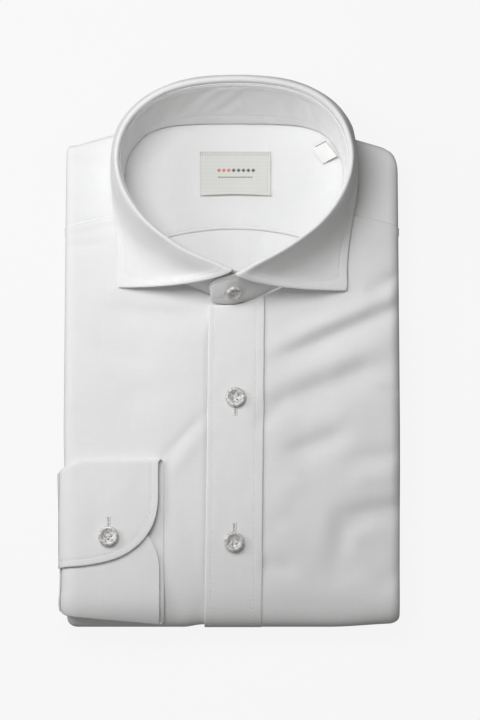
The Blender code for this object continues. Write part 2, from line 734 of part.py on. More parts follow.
def neck_layers():
    """The layers of the back that lie under the inner yoke as far as the neck seam."""

    def place(x, share):
        y = mix(98, neck_seam_y(x) - 1.5, share)
        return Vector((COLLAR_X + x * 68 / YOKE_REACH, y, INSIDE_Z - CLOTH - 0.4))

    return cloth("neck_layers", YOKE_COLUMNS, steps(0, 1, 3), place, 3.6, 1, collection=CUTTERS)


def join(base, addition):
    """Makes an object part of another solid."""
    addition.hide_render = True
    addition.display_type = "WIRE"
    union = base.modifiers.new("with " + addition.name, "BOOLEAN")
    union.operation = "UNION"
    union.solver = "EXACT"
    union.object = addition


def button(name, diameter, point, normal):
    """A four-hole shirt button: a turned disc with a raised rim, drilled, lying on the cloth."""
    radius = diameter / 2
    profile = [
        (0.0, BUTTON_THICK * 0.62), (radius * 0.52, BUTTON_THICK * 0.62), (radius * 0.66, BUTTON_THICK * 0.95),
        (radius * 0.82, BUTTON_THICK), (radius * 0.96, BUTTON_THICK * 0.8), (radius, BUTTON_THICK * 0.45),
        (radius * 0.9, BUTTON_THICK * 0.08), (radius * 0.7, 0.0), (0.0, 0.0),
    ]  # fmt: skip
    bm = bmesh.new()
    verts = [bm.verts.new((x * MM, 0, z * MM)) for x, z in profile]
    for a, b in zip(verts, verts[1:]):
        bm.edges.new((a, b))
    disc = add_mesh(bm, name, SHELL)
    turned = disc.modifiers.new("turned", "SCREW")
    turned.steps = turned.render_steps = 16
    turned.use_merge_vertices = True
    turned.merge_threshold = 0.0001 * 0.1
    drill = bmesh.new()
    for x, y in ((1, 1), (1, -1), (-1, 1), (-1, -1)):
        found = bmesh.ops.create_cone(
            drill, cap_ends=True, segments=6, radius1=BUTTON_HOLE_RADIUS * MM,
            radius2=BUTTON_HOLE_RADIUS * MM, depth=4 * BUTTON_THICK * MM,
        )  # fmt: skip
        move = Vector((x, y, 0)) * BUTTON_HOLE_SPREAD * MM
        bmesh.ops.translate(drill, vec=move, verts=found["verts"])
    drills = add_mesh(drill, name + "_drills", SHELL, CUTTERS)
    drills.hide_render = True
    drills.display_type = "WIRE"
    cut = disc.modifiers.new("holes", "BOOLEAN")
    cut.solver = "EXACT"
    cut.object = drills
    for obj in (disc, drills):
        obj.location = point * MM
        obj.rotation_mode = "QUATERNION"
        obj.rotation_quaternion = normal.to_track_quat("Z", "Y")


def build_buttons():
    for name, down in FRONT_BUTTONS_DOWN.items():
        x = placket_middle(down)
        face = LAP + SEAM_GAP + PLACKET_THICK
        low, high = lifted(RIGHT, x, down, face), lifted(RIGHT, x, down, face + 1)
        button(name, BUTTON_DIAMETER, low + (high - low) * 0.4, high - low)
    low = lifted(LEFT, CUFF_BUTTON_ACROSS, CUFF_BUTTON_DOWN, CUFF_LAYERS[2] + CLOTH / 2)
    high = lifted(LEFT, CUFF_BUTTON_ACROSS, CUFF_BUTTON_DOWN, CUFF_LAYERS[2] + CLOTH / 2 + 1)
    button("button_cuff", BUTTON_DIAMETER, low + (high - low) * 0.5, high - low)
    foot, top = stand_point(RIGHT, 9.0, 0.0), stand_point(RIGHT, 9.0, 1.0)
    beside = stand_point(RIGHT, 9.1, 0.5) - stand_point(RIGHT, 8.9, 0.5)
    normal = (top - foot).cross(beside).normalized()
    if normal.y > 0:
        normal = -normal
    middle = stand_point(RIGHT, 9.0, 0.5)
    button("button_collar", COLLAR_BUTTON_DIAMETER, middle + normal * (STAND_THICK / 2 + 0.4), normal)


def build_labels():
    """The neck label, sewn flat on the inner yoke, and the small folded size tag at the neck seam."""

    def label_place(x, y):
        return Vector((2.2 + x, 114.4 + y, INSIDE_Z + SEAM_GAP + 1.0))

    cloth("neck_label", steps(-22.5, 22.5, 4), steps(-14, 14, 2), label_place, 1.0, 1, LABEL)

    corner, along, beside = Vector((67.2, 127.0, 0)), Vector((-8.3, 10.2, 0)), Vector((-8.8, -4.4, 0))

    def tag_place(u, v):
        # hangs from the neck seam: its sewn side is a little higher than its free side
        point = corner + along * v + beside * u
        point.x -= 2.0
        point.z = INSIDE_Z + SEAM_GAP + 1.0 + 0.6 * (1 - u)
        return point

    cloth("size_tag", steps(0, 1, 3), steps(0, 1, 3), tag_place, 1.0, -1, LABEL)


build_fronts()
build_placket()
build_yoke_shoulder(LEFT, "yoke_shoulder_left")
build_yoke_shoulder(RIGHT, "yoke_shoulder_right")
build_neck_inside()
build_collar()
build_cuff()
build_sleeve()
build_layers()
build_buttons()
build_labels()
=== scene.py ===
# %% [markdown]
# # A folded dress shirt
# A white cotton dress shirt is folded at both sides, then in half, and lies on its back. Its collar
# stands open and one cuff is laid on the front. The CAD model gives every layer its place. This
# script puts thin, creased, stitched cloth in those places and leaves the CAD nodes for collision.

import math

import bmesh
import bpy
from mathutils import Matrix, Vector, noise


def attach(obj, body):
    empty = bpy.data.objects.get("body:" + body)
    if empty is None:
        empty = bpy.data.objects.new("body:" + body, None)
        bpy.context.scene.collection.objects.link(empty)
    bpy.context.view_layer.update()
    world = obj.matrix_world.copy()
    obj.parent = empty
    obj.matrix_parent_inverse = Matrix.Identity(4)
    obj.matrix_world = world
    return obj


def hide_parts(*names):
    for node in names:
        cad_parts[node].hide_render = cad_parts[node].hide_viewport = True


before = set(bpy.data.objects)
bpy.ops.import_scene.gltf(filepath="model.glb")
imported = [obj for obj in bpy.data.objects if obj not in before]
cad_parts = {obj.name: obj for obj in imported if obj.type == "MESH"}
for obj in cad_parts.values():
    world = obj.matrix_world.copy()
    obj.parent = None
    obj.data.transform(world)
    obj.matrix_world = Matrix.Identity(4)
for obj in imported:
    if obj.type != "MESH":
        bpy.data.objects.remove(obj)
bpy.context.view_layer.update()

# %% [markdown]
# ## Camera
# The picture was taken from above, a little from the hem's side: 78 degrees up, far away, with a long
# lens, so the far and near ends of the shirt have nearly the same scale. The camera comes first
# because every later choice is judged through it.

# %% Camera
CAMERA_ANGLE = math.radians(78)
CAMERA_AIM = Vector((0.00703, -0.00854, 0.027))
CAMERA_DISTANCE = 2.4
camera_data = bpy.data.cameras.new("studio_camera")
camera_data.lens = 192.0
camera_data.sensor_width = 36.0
camera = bpy.data.objects.new("studio_camera", camera_data)
towards = Vector((0, -math.cos(CAMERA_ANGLE), math.sin(CAMERA_ANGLE)))
camera.location = CAMERA_AIM + towards * CAMERA_DISTANCE
camera.rotation_euler = towards.to_track_quat("Z", "Y").to_euler()
bpy.context.scene.collection.objects.link(camera)
bpy.context.scene.camera = camera
print("camera", [round(v, 3) for v in camera.location])

# %% [markdown]
# ## Lengths of the folded body
# A shirt folded for a shelf is a flat bag: two halves, each with its side edges rolled in. The numbers
# repeat the ones in the part's source, in millimetres, so a piece made here lands in its CAD node.

# %% Lengths in millimetres
MM = 0.001
LEFT, RIGHT = -1, 1
SIDES = ((LEFT, "left"), (RIGHT, "right"))
DRAWING_SHIFT = Vector((1.93, -1.94, 0.0))  # from the drawing's origin to the frame's
HALF_WIDTH = 105.0
NARROWING = {LEFT: 3.0, RIGHT: 1.0}
FOLD_PLANE_Z = 13.0
LOWER_THICK = 13.0
INNER_GAP = 2.0
SIDE_ROLL_X = 6.5
SIDE_ROLL_RADIUS = 6.0
BOTTOM_DOWN = 159.5
TURN_ARC = math.pi * LOWER_THICK
HEM_END_Y = 112.0
CROWN = 3.0
LAP = 1.5
SEAM_GAP = 0.3
SHOULDER_Y = {LEFT: 127.0, RIGHT: 124.8}
SHOULDER_SLOPE = 0.3
SHOULDER_THICK = 11.0
YOKE_SEAM_Y = 89.0
YOKE_SEAM_DROP = 8.7
INSIDE_Z = 18.8


def mix(a, b, t):
    return a + (b - a) * t


def smooth(low, high, value):
    t = min(1.0, max(0.0, (value - low) / (high - low)))
    return t * t * (3 - 2 * t)


def steps(start, end, count):
    return [mix(start, end, k / count) for k in range(count + 1)]


def at(point):
    """A place of the drawing, in millimetres, as a place in the frame, in metres."""
    return (point + DRAWING_SHIFT) * MM


print("the folded body is", 2 * HALF_WIDTH, "mm wide")

# %% [markdown]
# ## Creases of the fronts
# Pressed poplin that has been folded and unfolded keeps shallow troughs. They start at the side folds,
# where the cloth was pinched, and run inwards and down. A cloth simulation would put them in places of
# its own, so each one is given as a soft line: two ends, a width, a depth, and a lean that makes one
# bank steeper. A slow noise adds the unevenness between them. All are summed once into a table, because
# thousands of points ask for them.

# %% Crease table
CREASES = (
    # x0, y0, x1, y1, width, depth, lean; a depth below 0 is a ridge
    (104, 49, 86, 37, 4.5, 1.9, -0.3),
    (98, 58, 84, 50, 5.0, -0.5, 0.0),
    (105, 29, 31, -4, 5.6, 2.7, -0.35),
    (102, 36, 28, 3, 7.0, -2.3, 0.0),
    (95, 5, 30, -21, 7.0, -1.4, 0.0),
    (92, -11, 24, -35, 8.6, 2.5, -0.3),
    (34, -32, 15, -50, 6.5, 1.1, 0.0),
    (84, -9, 66, -14, 5.0, 0.7, -0.2),
    (105, -27, 94, -24, 3.2, 1.2, 0.0),
    (68, -54, 34, -66, 7.0, 2.2, -0.2),
    (70, -42, 44, -48, 6.0, -0.5, 0.0),
    (106, -66, 72, -70, 6.0, 1.5, 0.0),
    (102, -78, 74, -84, 5.5, -0.9, 0.0),
    (112, -98, 68, -106, 10.0, 3.2, -0.3),
    (71, -110, 58, -148, 8.5, 1.3, 0.0),
    (58, -148, 86, -133, 8.0, 0.7, -0.2),
    (92, -112, 72, -119, 6.0, -0.9, 0.0),
    (20, -136, 40, -139, 6.5, 1.6, 0.0),
    (57, -98, 59, -158, 8.0, -0.6, 0.0),
    (125, -120, 50, -180, 30.0, 3.2, 0.0),
    (72, -126, 88, -140, 5.0, -0.7, 0.0),
    (110, -135, 90, -153, 6.0, 1.7, 0.0),
    (-120, -172, 90, -172, 24.0, 2.6, 0.0),
    (44, -84, 28, -92, 6.0, -0.5, 0.0),
    (40, -104, 24, -112, 6.0, 0.6, 0.0),
    (80, 74, 76, 56, 4.0, 0.4, 0.0),
    (104, 64, 75, 69, 1.7, 0.45, 0.0),
    (-103, 67.6, -73, 69.5, 1.7, 0.4, 0.0),
    (-74, 26, -20, 22, 6.0, 0.9, 0.3),
    (-100, 84, -84, 62, 7.0, 0.35, 0.0),
    (-104, 66, -88, 66, 2.5, 0.3, 0.0),
    (-86, 2, -52, -8, 7.0, 0.6, 0.1),
    (-66, -30, -24, -22, 7.5, 0.5, 0.0),
    (-42, -68, -17, -41, 4.2, 0.9, 0.4),
    (-38, -80, -19, -51, 4.6, -0.8, 0.0),
    (-104, 14, -72, 4, 8.0, 0.4, 0.2),
    (-30, -95, -21, -140, 6.5, 0.45, 0.0),
    (-98, -38, -78, -52, 6.0, 0.5, 0.2),
    (-60, -50, -34, -46, 8.0, -0.3, 0.0),
    (-92, 40, -62, 38, 9.0, -0.35, 0.0),
)
TABLE_X, TABLE_Y = (-108, 108), (-166, 132)


def crease_depth(x, y):
    """How far the cloth sinks at (x, y), as the sum of the creases near it."""
    total = 0.0
    for x0, y0, x1, y1, width, depth, lean in CREASES:
        run_x, run_y = x1 - x0, y1 - y0
        square = run_x * run_x + run_y * run_y
        along = ((x - x0) * run_x + (y - y0) * run_y) / square
        if not -0.3 < along < 1.3:
            continue
        off = ((x - x0) * run_y - (y - y0) * run_x) / math.sqrt(square)
        reach = width * (1 + lean if off > 0 else 1 - lean)
        if abs(off) < 3 * reach:
            ends = smooth(-0.25, 0.2, along) * (1 - smooth(0.65, 1.25, along))
            total += depth * ends * math.exp(-((off / reach) ** 2))
    slow = noise.noise(Vector((x / 40, y / 52, 1.7)))
    quick = noise.noise(Vector((x / 13, y / 19, 5.2)))
    return total + 0.45 * slow + 0.16 * quick


CREASE_TABLE = [
    [crease_depth(x, y) for y in range(TABLE_Y[0], TABLE_Y[1] + 1)]
    for x in range(TABLE_X[0], TABLE_X[1] + 1)
]


def fold_depth(x, y):
    """The table's depth at a place between its whole millimetres."""
    x = min(max(x, TABLE_X[0]), TABLE_X[1] - 0.001) - TABLE_X[0]
    y = min(max(y, TABLE_Y[0]), TABLE_Y[1] - 0.001) - TABLE_Y[0]
    i, j = int(x), int(y)
    near = mix(CREASE_TABLE[i][j], CREASE_TABLE[i][j + 1], y - j)
    far = mix(CREASE_TABLE[i + 1][j], CREASE_TABLE[i + 1][j + 1], y - j)
    return mix(near, far, x - i)


print(len(CREASES), "creases, deepest", max(max(column) for column in CREASE_TABLE), "mm")

# %% [markdown]
# ## The surface that the folded cloth follows
# A place on the folded cloth has two lengths: across, from the middle line to a side fold and round it,
# and down, along the top, round the bottom fold and back underneath. Whatever lies on the fronts (the
# placket, the cuff, the buttons, every stitch) is given by the same two lengths and a height, so it
# follows each crease without any fitting.

# %% Folded surface
BOTTOM_EASE_FROM = 130.0
BOTTOM_EASE = 42.5  # over this length the top sinks towards the bottom fold
UNDER_CREASE_SHARE = 0.3
UNDER_CREASE_SHIFT = 24.0


def bottom_share(y):
    """The front's fall towards the bottom fold, as a share of the plain round fold's height."""
    t = min(0.9999, max(0.0, (-BOTTOM_EASE_FROM - y) / BOTTOM_EASE))
    past = max(0.0, -BOTTOM_DOWN - y)
    plain = math.sqrt(max(1e-6, 1 - (past / LOWER_THICK) ** 2))
    return math.sqrt(1 - t**3) / plain


def half_width(side, down):
    above = min(down, 2 * BOTTOM_DOWN + TURN_ARC - down)
    return HALF_WIDTH - NARROWING[side] * smooth(40, BOTTOM_DOWN, above)


def upper_thick(x, down):
    base = mix(SHOULDER_THICK, 12.5, smooth(-127, -80, down))
    base = mix(base, LOWER_THICK, smooth(-70, -20, down))
    middle = smooth(-70, 30, down) * (1 - smooth(95, BOTTOM_DOWN, down))
    crown = CROWN * (1 - (x / HALF_WIDTH) ** 2) * middle
    fade = 1 - 0.6 * smooth(118, BOTTOM_DOWN - 3, down)
    return (base + crown) * bottom_share(-down) - fold_depth(x, -down) * fade


def across_section(side, across, down):
    flat = half_width(side, down) - SIDE_ROLL_X
    roll = max(0.0, (across - flat) / SIDE_ROLL_RADIUS)
    if roll <= math.pi:
        return min(across, flat) + SIDE_ROLL_X * math.sin(roll), roll
    return flat - (roll - math.pi) * SIDE_ROLL_RADIUS, math.pi


def level(roll, thick):
    return (thick + INNER_GAP) / 2 + (thick - INNER_GAP) / 2 * math.cos(roll)


def bottom_reach(side, x):
    """The bottom fold is pressed a little shorter towards the right corner."""
    return 1 - 0.17 * smooth(60, 106, x) if side == RIGHT else 1.0


def under_thick(x, y, past_fold):
    """The lower half's height: similar creases to the top's, mirrored, shifted and fainter."""
    depth = UNDER_CREASE_SHARE * max(0.0, fold_depth(-x, -y - UNDER_CREASE_SHIFT))
    return LOWER_THICK - depth * smooth(0, 30, past_fold)


def skin(side, across, down):
    """A point on the outer face of the folded cloth."""
    x, roll = across_section(side, across, down)
    if down <= BOTTOM_DOWN:
        height = level(roll, upper_thick(side * x, down))
        return Vector((side * x, -down, FOLD_PLANE_Z + height))
    height = level(roll, LOWER_THICK)
    if down <= BOTTOM_DOWN + TURN_ARC:
        turn = (down - BOTTOM_DOWN) / LOWER_THICK
        y = -BOTTOM_DOWN - height * math.sin(turn) * bottom_reach(side, x)
        rise = height * math.cos(turn)
        if turn < math.pi / 2:
            shallow = 0.4 * fold_depth(side * x, -BOTTOM_DOWN) * math.cos(turn)
            rise = rise * bottom_share(y) - shallow
        return Vector((side * x, y, FOLD_PLANE_Z + rise))
    past_fold = down - BOTTOM_DOWN - TURN_ARC
    y = -BOTTOM_DOWN + past_fold
    height = level(roll, under_thick(side * x, y, past_fold))
    return Vector((side * x, y, FOLD_PLANE_Z - height))


def face_normal(side, across, down):
    step = 0.6
    sideways = skin(side, across + step, down) - skin(side, across - step, down)
    downwards = skin(side, across, down + step) - skin(side, across, down - step)
    return sideways.cross(downwards).normalized() * -side


def lifted(side, across, down, out):
    """A point that lies off the cloth's outer face, square to it."""
    return skin(side, across, down) + face_normal(side, across, down) * out


print("front's middle is", round(lifted(RIGHT, 0, 20, 0).z, 2), "mm above the table")

# %% [markdown]
# ## The collar's shape
# A collar is a band (the stand) that goes round the neck, and a wider leaf that folds over it. Sections
# across the collar are set from the middle of the back to the front, and a smooth curve joins them.

# %% Collar sections
COLLAR_X = 1.5
BACK_LEAN_X = 1.6
STAND_THICK = 1.6
LEAF_THICK = 1.4
ROLL_IN = 2.0
ROLL_DOWN = 4.3
CREST_OUT = 3.0
STAND_LAP = 2.8
LEAF_END = 8.88
RIGHT_POINT_SHIFT = (-2.2, -2.0, 0.0)
RIGHT_CREST_IN = 0.6
HOLLOW_OUT, HOLLOW_DROP = 7.5, 24.5  # a hollow stretch of the leaf falls towards this place below its crest
HOLLOW_SHARE = {LEFT: 0.5, RIGHT: 0.8}
LEAF_ABOVE_FRONT = 0.6
STAND_END = 10.0
COLLAR_COLUMNS = {"seam": 0, "crest": 3, "fall": 6, "edge": 9}
COLLAR = (
    # x, y, z of the neck seam, the fold's crest, the leaf's slope and its outer edge, for each station
    (0.0, 148.4, 19.6, 0.0, 168.2, 54.5, 0.0, 174.6, 38.0, 0.0, 178.6, 9.5),
    (24.4, 148.2, 19.6, 30.2, 165.4, 54.5, 31.2, 172.0, 38.0, 30.6, 176.0, 10.0),
    (44.2, 146.3, 19.6, 52.0, 156.8, 54.5, 56.0, 163.2, 38.0, 55.0, 165.8, 14.0),
    (59.0, 139.3, 19.8, 67.4, 141.0, 54.8, 72.8, 144.2, 40.0, 72.3, 146.0, 22.5),
    (69.2, 121.6, 20.3, 73.8, 119.5, 55.2, 78.0, 119.5, 40.0, 77.2, 117.5, 0.0),
    (68.5, 98.5, 22.5, 69.9, 97.6, 55.2, 75.2, 95.0, 38.0, 76.4, 96.0, 0.0),
    (60.0, 73.5, 25.5, 56.0, 76.4, 55.0, 64.0, 71.0, 35.0, 74.4, 78.5, 0.0),
    (42.0, 49.5, 27.2, 34.5, 59.2, 54.8, 45.0, 53.0, 35.0, 73.2, 60.0, 0.0),
    (19.0, 35.8, 28.0, 12.3, 47.0, 54.6, 31.0, 42.0, 40.0, 73.2, 44.5, 0.0),
    (0.0, 29.2, 28.6, 0.0, 40.8, 54.5, 22.0, 33.6, 41.0, 72.6, 39.2, 0.0),
    (-15.0, 30.0, 28.6, -15.0, 40.3, 51.0, -15.0, 29.0, 41.0, 72.6, 35.5, 0.0),
)


def collar_row(name, station):
    """A point of the collar's sections at a station between them."""
    first = COLLAR_COLUMNS[name]
    station = min(max(station, 0.0), len(COLLAR) - 1.0)
    k = min(int(station), len(COLLAR) - 2)
    t = station - k

    def row(n):
        if n < 0:  # the back is mirrored past its middle
            x, y, z = COLLAR[-n][first : first + 3]
            return Vector((-x, y, z))
        return Vector(COLLAR[min(n, len(COLLAR) - 1)][first : first + 3])

    a, b, c, d = row(k - 1), row(k), row(k + 1), row(k + 2)
    bend = (a * 2 - b * 5 + c * 4 - d) * t**2 + (b * 3 - a - c * 3 + d) * t**3
    return (b * 2 + (c - a) * t + bend) / 2


def placed(point, side):
    lean = BACK_LEAN_X * smooth(125, 170, point.y)
    return Vector((COLLAR_X + lean + side * point.x, point.y, point.z))


def outward(station):
    ahead = collar_row("crest", station + 0.05) - collar_row("crest", station - 0.05)
    return Vector((-ahead.y, ahead.x, 0)).normalized()


def lap_shift(side, station):
    """The button end of the stand, on the left, passes behind the buttonhole end."""
    if side == RIGHT:
        return Vector()
    past = max(0.0, station - 9.0)
    return Vector((0, STAND_LAP * smooth(6.8, 8.8, station) + 4.0 * past**1.5, 0))


def stand_point(side, station, rise):
    seam = collar_row("seam", station)
    crest = collar_row("crest", station)
    out = outward(min(station, 9.0))
    top = crest - out * ROLL_IN - Vector((0, 0, ROLL_DOWN))
    if side == LEFT:
        seam = seam - Vector((0, 0, 1.4 * smooth(6.8, 8.8, station)))
    past = max(0.0, station - 9.0) / (STAND_END - 9.0)
    high = 1 - 0.34 * past**2.5
    low = 0.10 * past**6 if side == RIGHT else 0.0
    bow = out * (0.8 * math.sin(math.pi * rise))
    return placed(seam.lerp(top, mix(low, high, rise)) + bow + lap_shift(side, station), side)


def leaf_curve(side, station):
    out = outward(station)
    crest = collar_row("crest", station)
    root = crest - out * ROLL_IN - Vector((0, 0, ROLL_DOWN - LEAF_THICK / 2 - SEAM_GAP))
    edge = collar_row("edge", station)
    if side == RIGHT:
        edge += Vector(RIGHT_POINT_SHIFT) * smooth(4.6, 7.6, station)
        crest = crest - out * RIGHT_CREST_IN * smooth(3.6, 5.2, station) * (1 - smooth(7.4, 8.6, station))
    steep = crest + out * HOLLOW_OUT - Vector((0, 0, HOLLOW_DROP))
    hollow = smooth(4.6, 6.8, station) * (1 - smooth(7.7, 8.8, station))
    fall = collar_row("fall", station).lerp(steep, hollow * HOLLOW_SHARE[side])
    on_body = 1 - smooth(142, 148, edge.y)
    face = FOLD_PLANE_Z + upper_thick(side * edge.x + COLLAR_X, -edge.y)
    if on_body > 0:
        edge.z = mix(max(edge.z, 22.5), face + LEAF_ABOVE_FRONT + LEAF_THICK / 2, on_body)
    shift = lap_shift(side, station)
    points = [root, crest, crest + out * mix(CREST_OUT, 1.9, smooth(2.0, 4.0, station)), fall, edge]
    shares = [1.0, 1.0, 1.0, 0.6, 0.0]
    return [placed(p + shift * share, side) for p, share in zip(points, shares)]


def bezier(a, b, c, d, t):
    return a * (1 - t) ** 3 + b * (3 * t * (1 - t) ** 2) + c * (3 * t * t * (1 - t)) + d * t**3


def leaf_point(side, station, width):
    """The leaf's middle surface; a width below 0 is the short rise from the stand to the fold."""
    root, crest, pull, fall, edge = leaf_curve(side, station)
    if width < 0:
        behind = (crest - root) * 0.2
        root = root + Vector((behind.x, behind.y, -0.9))
        inwards = crest - (pull - crest) * 0.5
        upright = root.lerp(Vector((root.x, root.y, crest.z)), 0.7)
        return bezier(root, upright, inwards, crest, 1 + width)
    return bezier(crest, pull, fall, edge, width)


def neckline(side):
    """A front's neck edge as (x from the collar's middle, y), just outside the stand's foot."""
    found = []
    for station in steps(9.0, 5.6, 34):
        seam = collar_row("seam", station) + lap_shift(side, station)
        edge = seam + outward(station) * (STAND_THICK / 2 + 2 * SEAM_GAP)
        found.append((edge.x, edge.y))
    return found


NECKLINE = {side: neckline(side) for side in (LEFT, RIGHT)}


def neck_y(side, x):
    line = NECKLINE[side]
    x = max(side * (x - COLLAR_X), line[0][0])
    for (x0, y0), (x1, y1) in zip(line, line[1:]):
        if x0 <= x <= x1:
            return mix(y0, y1, (x - x0) / (x1 - x0))
    return None


def yoke_seam_y(x):
    out = max(0.0, (abs(x) - 60) / 45)
    return YOKE_SEAM_Y - YOKE_SEAM_DROP * out**1.6


def top_edge_y(side, x):
    seam = neck_y(side, x)
    at_yoke = yoke_seam_y(x) - 0.1
    return at_yoke if seam is None else min(seam, at_yoke)


print("collar crest", round(placed(collar_row("crest", 0), RIGHT).z, 1), "mm high at the back")

# %% [markdown]
# ## Colours and materials
# White cloth in a picture is never pure white. Bleached cotton reflects about 85 percent of the light,
# very slightly warm. A material's colours are hex values as a paint program shows them, and one
# function turns each into the linear numbers that a shader needs.

# %% Colour and node helpers


def linear(hex_value):
    """An sRGB hex colour as linear red, green, blue and alpha."""
    found = []
    for k in (0, 2, 4):
        part = int(hex_value[k : k + 2], 16) / 255
        found.append(part / 12.92 if part <= 0.04045 else ((part + 0.055) / 1.055) ** 2.4)
    return (*found, 1.0)


def add_node(tree, kind, inputs, **settings):
    """Adds one node with its settings; an input is given a value, or another node's output."""
    made = tree.nodes.new(kind)
    for key, value in settings.items():
        setattr(made, key, value)
    for key, value in inputs.items():
        if isinstance(value, bpy.types.NodeSocket):
            tree.links.new(value, made.inputs[key])
        else:
            made.inputs[key].default_value = value
    return made


def blend(tree, share, first, second):
    """A colour between two others by share; each is a hex value or another node's output."""
    ends = [linear(colour) if isinstance(colour, str) else colour for colour in (first, second)]
    inputs = {"Factor": share, "A": ends[0], "B": ends[1]}
    return add_node(tree, "ShaderNodeMix", inputs, data_type="RGBA").outputs["Result"]


def start_material(name, roughness, ior=1.5):
    made = bpy.data.materials.new(name)
    made.use_nodes = True
    shader = made.node_tree.nodes["Principled BSDF"]
    shader.inputs["Roughness"].default_value = roughness
    shader.inputs["IOR"].default_value = ior
    return made, made.node_tree, shader


def clouded(name, dark, light, scale, roughness, ior=1.5, detail=2.0, distortion=0.0, spread=(0.0, 1.0)):
    """A material whose colour drifts between two tones in soft clouds that are fixed to the object."""
    made, tree, shader = start_material(name, roughness, ior)
    place = add_node(tree, "ShaderNodeTexCoord", {})
    inputs = {"Vector": place.outputs["Object"], "Scale": scale, "Detail": detail, "Distortion": distortion}
    cloud = add_node(tree, "ShaderNodeTexNoise", inputs)
    inputs = {"Value": cloud.outputs["Fac"], "From Min": spread[0], "From Max": spread[1]}
    share = add_node(tree, "ShaderNodeMapRange", inputs)
    colour = blend(tree, share.outputs[0], dark, light)
    tree.links.new(colour, shader.inputs["Base Color"])
    return made, tree, shader, colour


print("bleached cotton in linear light", [round(v, 3) for v in linear("F1F0EC")])

# %% [markdown]
# ### Cotton poplin
# Poplin is a plain weave of fine combed cotton: many warp threads along the shirt, thicker weft threads
# across it. A thread is about 0.2 mm, far too fine for this picture, so what the eye gets is a very
# faint grain: threads that are a little thicker for a few centimetres. Two stretched noises draw those
# slubs 0.7 to 1.1 mm wide, along and across, as tone and as bump. The UV map has 1 unit for 100 mm.

# %% Cotton poplin
UV_NAME = "cut"


def poplin(name, light, dark, slub, roughness=0.82):
    made, tree, shader = start_material(name, roughness, 1.47)
    cut = add_node(tree, "ShaderNodeUVMap", {}, uv_map=UV_NAME)

    def stretched_noise(stretch, scale, detail):
        place = add_node(tree, "ShaderNodeMapping", {"Vector": cut.outputs["UV"], "Scale": stretch})
        inputs = {"Vector": place.outputs[0], "Scale": scale, "Detail": detail}
        return add_node(tree, "ShaderNodeTexNoise", inputs).outputs["Fac"]

    warp = stretched_noise((150, 5.0, 1), 1.0, 3.0)
    weft = stretched_noise((6.0, 130, 1), 1.0, 3.0)
    cloud = stretched_noise((3, 3, 1), 5.0, 2.0)
    both = add_node(tree, "ShaderNodeMath", {0: warp, 1: weft}, operation="ADD")
    inputs = {"Value": both.outputs[0], "From Min": 0.72, "From Max": 1.28}
    tone = add_node(tree, "ShaderNodeMapRange", inputs)
    share = add_node(tree, "ShaderNodeMath", {0: tone.outputs[0], 1: cloud}, operation="MULTIPLY")
    inputs = {"Height": tone.outputs[0], "Strength": 0.35 * slub, "Distance": 0.00010}
    bump = add_node(tree, "ShaderNodeBump", inputs)
    tree.links.new(blend(tree, share.outputs[0], dark, light), shader.inputs["Base Color"])
    tree.links.new(bump.outputs["Normal"], shader.inputs["Normal"])
    shader.inputs["Specular IOR Level"].default_value = 0.3
    shader.inputs["Sheen Weight"].default_value = 0.08
    shader.inputs["Sheen Roughness"].default_value = 0.6
    return made


POPLIN = poplin("white_cotton_poplin", "F5F5F5", "EFEFEF", 0.6)
print("material", POPLIN.name)

# %% [markdown]
# ### Sewing thread, buttons and labels
# Sewing thread is spun polyester round cotton: a little shinier and whiter than the cloth, with a twist.
# The buttons are polyester resin with a pearl pigment: pale grey, glossy, with soft clouds inside whose
# bright flecks are partly painted glints. The labels are damask woven from satin threads that lie across
# them, so their light runs in fine bars.

# %% Sewing thread
THREAD, tree, shader = start_material("spun_polyester_thread", 0.55)
place = add_node(tree, "ShaderNodeTexCoord", {})
inputs = {"Vector": place.outputs["Object"], "Scale": 900.0, "Distortion": 1.0}
twist = add_node(tree, "ShaderNodeTexWave", inputs, wave_type="BANDS", bands_direction="DIAGONAL")
tree.links.new(blend(tree, twist.outputs["Fac"], "E6E5E1", "FAF9F7"), shader.inputs["Base Color"])
print("material", THREAD.name)

# %% Pearl resin of the buttons
# The clouds' bright flecks are partly the pearl pigment and partly painted glints.
PEARL_AND_GLINTS, tree, shader, colour = clouded(
    "pearl_resin_with_painted_glints", "B6B5B1", "F4F3F1", 240.0, 0.22, 1.55, 3.0, 2.0, (0.40, 0.66)
)
shader.inputs["Coat Weight"].default_value = 0.6
shader.inputs["Coat Roughness"].default_value = 0.08
print("material", PEARL_AND_GLINTS.name)

# %% Damask of the neck label and the size tag
# Lengths in the UV map: 0.01 is 1 mm.
DIAMOND_STEP, DIAMOND_COUNT, CORAL_COUNT = 0.031, 8, 3
DIAMONDS_FROM, DIAMONDS_Y, DIAMOND_HALF = 0.108, 0.163, 0.030
DASH_STEP, DASHES_FROM, DASHES_TO, DASHES_Y, DASH_HALF = 0.017, 0.119, 0.340, 0.118, 0.005
RIB_STEP, RIBS_FROM_Y = 0.0155, 0.258
# The size tag's darker ends are painted shade along the tape's edges.
TAG_EDGE_SHADE_START, TAG_EDGE_SHADE_END, TAG_EDGE_SHADE_WIDTH = 0.0045, 0.1225, 0.075


